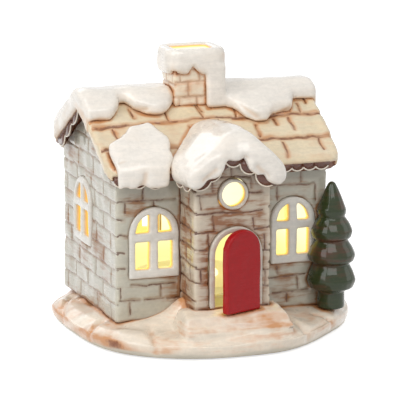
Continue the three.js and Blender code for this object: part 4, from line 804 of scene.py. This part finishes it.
# Scales: round-bottomed brown scales of clay in a row under the eaves and the gables' edges, each with a
# thin raised cream bead along its lower edge. The snow's lobes hang in front of their tops.
SCALES = [  # the bead's two ends, how far it hangs between them, and the way that the scale faces
    ((-31.3, -55.6, 87.5), (-21.5, -55.6, 90.0), 2.6, (0, -1, 0)),
    ((-21.3, -55.6, 90.2), (-15.6, -55.6, 95.4), 1.5, (0, -1, 0)),
    ((-13.9, -55.6, 101.3), (-6.0, -55.6, 98.3), 2.6, (0, -1, 0)),
    ((-5.6, -55.6, 98.0), (2.4, -55.6, 93.3), 2.5, (0, -1, 0)),
    ((2.8, -55.6, 93.0), (11.6, -55.6, 86.1), 3.0, (0, -1, 0)),
    ((-32.4, -36, 88.0), (-32.4, -46, 87.0), 2.0, (-1, 0, 0)),
    ((-32.4, -46.2, 87.0), (-32.0, -55.2, 87.2), 2.0, (-1, 0, 0)),
    ((-65.5, -33.8, 88.0), (-60.6, -33.8, 87.4), 1.5, (0, -1, 0)),
    ((-56.4, -33.8, 88.0), (-48.8, -33.8, 86.6), 2.6, (0, -1, 0)),
    ((-47.4, -33.8, 86.2), (-39.8, -33.8, 85.6), 2.2, (0, -1, 0)),
    ((-66.9, 20.5, 116.0), (-66.9, 31.5, 107.3), 2.4, (-1, 0, 0)),
    ((-66.9, 32.5, 106.0), (-66.9, 42.0, 99.2), 2.2, (-1, 0, 0)),
    ((-66.9, 43.5, 98.2), (-66.9, 52.5, 92.4), 2.2, (-1, 0, 0)),
]
FRONT_PITCH, BACK_PITCH, VERGE_PITCH = 6.7, 7.2, 8.5
SCALE_THICKNESS, SCALE_RISE, SCALE_STEP, BEAD = 1.3, 3.0, 0.15, 0.42
SCALE_SIDES, BEAD_SIDES = 48, 8


def verge(y):
    """A point under the edge of the right gable."""
    return 58.9, y, 117.3 - 0.62 * abs(y - 18)


SCALES += [((x, -32.6, 89.0), (x + FRONT_PITCH, -32.6, 89.0), 1.5, (0, -1, 0))
           for x in (18.2, 24.9, 31.6, 38.3, 45.0)]
SCALES += [((x + BACK_PITCH, 64.2, 88.4), (x, 64.2, 88.4), 1.8, (0, 1, 0))
           for x in np.arange(-55, 42, BACK_PITCH)]
SCALES += [(verge(y), verge(y + VERGE_PITCH), 2.2, (1, 0, 0)) for y in (20, 28.8, 37.6, 46.4)]
SCALES += [(verge(y + VERGE_PITCH), verge(y), 2.2, (1, 0, 0)) for y in (-25.6, -16.8, -8, 0.8, 9.5)]


def scale_place(start, end, hang, facing):
    """The circle of a scale's lower edge: its radius, how high the bead's ends are on it and its matrix."""
    start, end, facing = Vector(start), Vector(end), Vector(facing)
    along = (end - start).normalized()
    out = (facing - along * facing.dot(along)).normalized()
    up = out.cross(along)
    if up.z < 0:
        along, up = -along, -up
    half = (end - start).length / 2
    radius = (half ** 2 + hang ** 2) / (2 * hang)
    middle = (start + end) / 2 + up * (radius - hang)
    turn = Matrix((along, up, out)).transposed().to_4x4()
    return radius, hang - radius, Matrix.Diagonal((MM, MM, MM, 1)) @ Matrix.Translation(middle) @ turn


def cut_above(bm, level):
    """Takes off what lies above a level and closes the cut."""
    parts = bm.verts[:] + bm.edges[:] + bm.faces[:]
    bmesh.ops.bisect_plane(bm, geom=parts, plane_co=(0, level, 0), plane_no=(0, 1, 0), clear_outer=True)
    bmesh.ops.holes_fill(bm, edges=[e for e in bm.edges if e.is_boundary])


def gather(whole, bm, matrix):
    """Adds one small shape to a row of them."""
    bmesh.ops.transform(bm, matrix=matrix, verts=bm.verts)
    bmesh.ops.recalc_face_normals(bm, faces=bm.faces)
    held = bpy.data.meshes.new("held")
    bm.to_mesh(held)
    bm.free()
    whole.from_mesh(held)
    bpy.data.meshes.remove(held)


scales, beads = bmesh.new(), bmesh.new()
for i, (start, end, hang, facing) in enumerate(SCALES):
    radius, ends, matrix = scale_place(start, end, hang, facing)
    matrix = matrix @ Matrix.Translation((0, 0, SCALE_STEP * (i % 3 - 1)))
    bm = bmesh.new()
    bmesh.ops.create_cone(bm, cap_ends=True, segments=SCALE_SIDES, radius1=radius, radius2=radius,
                          depth=SCALE_THICKNESS)
    cut_above(bm, min(ends + SCALE_RISE, radius * 0.6))
    gather(scales, bm, matrix)
    bm = bmesh.new()
    bmesh.ops.create_circle(bm, segments=BEAD_SIDES, radius=BEAD)
    bmesh.ops.rotate(bm, verts=bm.verts, matrix=Matrix.Rotation(math.pi / 2, 3, "X"))
    bmesh.ops.translate(bm, verts=bm.verts, vec=(radius, 0, SCALE_THICKNESS * 0.35))
    bmesh.ops.spin(bm, geom=bm.verts[:] + bm.edges[:], axis=(0, 0, 1), cent=(0, 0, 0), steps=SCALE_SIDES,
                   angle=2 * math.pi, use_merge=True)
    cut_above(bm, ends + 0.3)
    gather(beads, bm, matrix)
finish(new_piece("eave_scales", scales), chocolate_glaze, "cottage", "tile_glaze")
bead_glaze = fired_glaze("cream bead glaze", (236, 226, 210), (206, 168, 132), (150, 100, 66),
                         strokes=0.2, relief=0.1)
finish(new_piece("scale_beads", beads), bead_glaze, "cottage", "snow_glaze")


# Chimney: a stack of clay with bricks cut in it, stained, with painted shade, where it meets the roof. Its
# square flue is open right down to the lamp and carries a painted lamp glow, and its top is hidden by a plump
# cap of snow.
CHIMNEY = {"left": -18.5, "right": 6.5, "front": 7.0, "back": 27.0}
FLUE = {"left": -16.9, "right": 4.9, "front": 8.6, "back": 25.4}
STACK_FOOT, STACK_TOP, STACK_COURSE, STACK_BRICK = 103, 143, 6.4, 9.0
chimney = cast("brick_chimney", ["chimney_stack"], 0.6, 5)
points, normals = surface(chimney)
x, y, z = points.T
across = masonry(CHIMNEY["left"], CHIMNEY["right"], STACK_FOOT, STACK_TOP, STACK_COURSE, STACK_BRICK, 91)
along = masonry(CHIMNEY["front"], CHIMNEY["back"], STACK_FOOT, STACK_TOP, STACK_COURSE, STACK_BRICK, 92)
bricks = {"front": across, "back": across, "left": along, "right": along}
gap = joint_gap(points, CHIMNEY, bricks, (), slack=1.0)
in_flue = ((x > FLUE["left"]) & (x < FLUE["right"]) & (y > FLUE["front"]) & (y < FLUE["back"])).astype(float)
points += normals * (0.25 + 0.35 * lumps(points, 8, 93))[:, None]
points = carve(points, normals, gap, 0.55, 0.6)
move_points(chimney, points)
paint(chimney, "joint", np.clip(3 - gap, 0, 3))
# Stain and painted shade where the stack meets the snow and the roof.
paint(chimney, "crevice_stain_and_shade", near(points, ["chimney_snow", "main_roof"] + SNOWS[:2], 3.4) * (1 - in_flue))
# Painted lamp glow inside the flue.
paint(chimney, "glow", in_flue * 0.95)
chimney_glaze = fired_glaze("stained chimney glaze", (250, 236, 212), (214, 160, 116),
                            (158, 102, 64), strokes=0.6, halo=0.4, lines=0.45, relief=0.4)
finish(chimney, chimney_glaze, "cottage", "tile_glaze", "chimney_stack")


# Snow: thick pillows of white clay on the ridge, the eaves, the porch and the chimney, pressed on the roof
# before firing, with rounded lobes at their lower edges. A trace of stain and painted shade lies where they
# meet the tiles, and in the chimney's flue the cap carries a painted lamp glow.
snow_glaze = fired_glaze("white snow glaze", (246, 239, 229), (226, 196, 164), (188, 134, 92),
                         strokes=0.12, halo=0.6, lines=0.0, coat=0.8, relief=0.12)
CREASES = [  # on the front eave, the porch and the ridge, across and up, as seen from the front
    (-49.5, 92.5, -50.5, 86.5), (-63, 99.5, -52.5, 102.5), (-3.6, 101.5, -6.5, 96.5), (2.5, 97, 7.5, 91.5),
    (-26, 92, -20, 97), (-44, 116.5, -36, 118), (16, 117, 22, 112), (40, 113, 48, 116),
    (-16.5, 134, -13.5, 128),
]
SNOW_TOP, CAP_SHOULDER, CAP_GLOW_FLOOR = 147.9, 138.0, 130.0


def snow(name, chosen, cell, rounding, swell, seed, against):
    """A pillow of snow: rounded hard, then swollen, made uneven and creased."""
    piece = cast(name, chosen, cell, rounding)
    points, normals = surface(piece)
    points += normals * (swell + 0.3 * lumps(points, 14, seed) + 0.5 * lumps(points, 30, seed + 1))[:, None]
    creased = line_gap(points[:, 0], points[:, 2], CREASES) + FAR * smooth_step(normals[:, 1], -0.7, -0.3)
    points = carve(points, normals, creased, 1.3, 1.8)
    points[:, 2] = np.minimum(points[:, 2], SNOW_TOP)
    move_points(piece, points)
    soften(piece, 3)
    points, normals = surface(piece)
    paint(piece, "joint", np.clip(2.6 - 0.9 * creased, 0, 3))
    # Stain and painted shade where the snow meets the roof, the walls and the chimney.
    paint(piece, "crevice_stain_and_shade", near(points, against, 4.5))
    finish(piece, snow_glaze, "cottage", "snow_glaze", *chosen)
    return piece


snow("snow_on_ridge_left", ["ridge_snow_left"], 0.8, 18, 1.3, 101, ["main_roof", "chimney_stack"])
snow("snow_on_front_eave", ["eave_snow_front"], 0.8, 40, 0.9, 105, ["main_roof", "house_walls"])
snow("snow_on_back_eave", ["eave_snow_back"], 0.8, 14, 0.9, 107, ["main_roof", "house_walls"])
snow("snow_on_porch", ["porch_snow"], 0.8, 30, 1.1, 109, ["main_roof", "porch_walls"])
cap = snow("snow_on_chimney_and_right_ridge", ["chimney_snow", "ridge_snow_right"], 0.75, 14, 1.0, 111,
           ["main_roof", "chimney_stack"])
points, normals = surface(cap)
x, y, z = points.T
crown = z > CAP_SHOULDER
stretch = (SNOW_TOP - CAP_SHOULDER) / (z.max() - CAP_SHOULDER)
points[crown, 2] = CAP_SHOULDER + (z[crown] - CAP_SHOULDER) * stretch
move_points(cap, points)
# Painted lamp glow on the cap's upright faces inside the flue.
in_flue = (np.abs(x + 6) < 12.4) & (np.abs(y - 17) < 10) & (z > CAP_GLOW_FLOOR)
upright = 1 - smooth_step(normals[:, 2], 0.2, 0.7)
paint(cap, "glow", in_flue * upright * np.clip((SNOW_TOP - 0.7 - z) * 0.6, 0, 0.97))


# Fir tree: four fat drooping tiers on a short trunk, cast solid and luted to the mound.
# Its dark green glaze is thick and glossy, and broken with brown.
fir_glaze = fired_glaze("dark green glaze", (50, 62, 34), (92, 50, 36), (26, 34, 20),
                        strokes=0.8, halo=0.2, coat=0.7, relief=0.05, body_shine=0.05)
fir = cast("fir_tree_glazed", ["fir_tree"], 0.6, 5)
points, normals = surface(fir)
points += normals * (0.25 + 0.15 * lumps(points, 12, 121))[:, None]
move_points(fir, points)
# Stain and painted shade where the tree stands on the mound.
paint(fir, "crevice_stain_and_shade", near(points, ["ground_base"], 1.5) * 0.5)
finish(fir, fir_glaze, "cottage", "fir_glaze", "fir_tree")


# Light unit and feet: a moulded white plastic unit, twisted into a ring in the mound, with a frosted dome
# over one warm lamp, two cells under a screwed hatch and a slide switch. The feet are glued felt pads.
def moulded(name, colour, rough, grain=0.0, coat=0.0, metal=0.0, glow=None):
    """A plain moulded, stamped or felted material, with its own fine grain."""
    material = bpy.data.materials.new(name)
    material.use_nodes = True
    tree = material.node_tree
    shader = tree.nodes["Principled BSDF"]
    where = tree.nodes.new("ShaderNodeTexCoord").outputs["Object"]
    speck = place(tree, "ShaderNodeTexNoise", None, {"Vector": where, "Scale": 900.0, "Detail": 3.0}).outputs[0]
    cloud = place(tree, "ShaderNodeTexNoise", None, {"Vector": where, "Scale": 70.0, "Detail": 2.0}).outputs[0]
    colour = srgb(*colour)
    shaded = tuple(c * 0.86 for c in colour[:3]) + (1,)
    tint = place(tree, "ShaderNodeMix", {"data_type": "RGBA"}, {0: cloud, 6: colour, 7: shaded}).outputs[2]
    tree.links.new(tint, shader.inputs["Base Color"])
    dulled = place(tree, "ShaderNodeMapRange", None,
                   {"Value": speck, "To Min": rough * 0.85, "To Max": min(rough * 1.2, 1.0)}).outputs[0]
    tree.links.new(dulled, shader.inputs["Roughness"])
    bump = place(tree, "ShaderNodeBump", None, {"Strength": grain, "Distance": 0.0002, "Height": speck})
    tree.links.new(bump.outputs[0], shader.inputs["Normal"])
    shader.inputs["Metallic"].default_value = metal
    shader.inputs["Coat Weight"].default_value = coat
    if glow:
        shader.inputs["Emission Color"].default_value = glow
        shader.inputs["Emission Strength"].default_value = 1.0
    return material


finishes = {
    moulded("white moulded plastic", (236, 234, 228), 0.42, grain=0.25): [
        "base_lock_ring", "light_unit_body", "light_unit_cover", "battery_hatch"],
    moulded("frosted dome", (250, 244, 225), 0.55, glow=(1.0, 0.93, 0.6, 1)): ["light_diffuser"],
    moulded("lamp resin", (255, 236, 180), 0.15, glow=(1.0, 0.9, 0.5, 1)): ["led_lamp"],
    moulded("green board", (44, 106, 62), 0.45): ["led_board"],
    moulded("zinc steel", (190, 192, 196), 0.28, metal=1.0): [
        "cover_screw_1", "cover_screw_2", "cover_screw_3", "hatch_screw"],
    moulded("nickel contact", (205, 200, 186), 0.22, metal=1.0): [
        "contact_bridge", "contact_positive", "contact_negative",
        "contact_spring_front", "contact_spring_back"],
    moulded("cell wrap", (52, 56, 62), 0.35, coat=0.3): ["battery_cell_front", "battery_cell_back"],
    moulded("black plastic", (28, 28, 30), 0.5, grain=0.3): ["switch_body", "switch_slider"],
    moulded("red insulation", (176, 30, 30), 0.5): ["lead_red"],
    moulded("black insulation", (24, 24, 26), 0.5): ["lead_black"],
    moulded("seal rubber", (200, 198, 190), 0.8, grain=0.4): ["light_unit_gasket"],
    moulded("brown felt", (96, 84, 72), 0.98, grain=1.0): [
        "foot_pad_front_left", "foot_pad_front_right", "foot_pad_back_left", "foot_pad_back_right"],
}
for material, names in finishes.items():
    for name in names:
        nodes[name].data.materials.clear()
        nodes[name].data.materials.append(material)
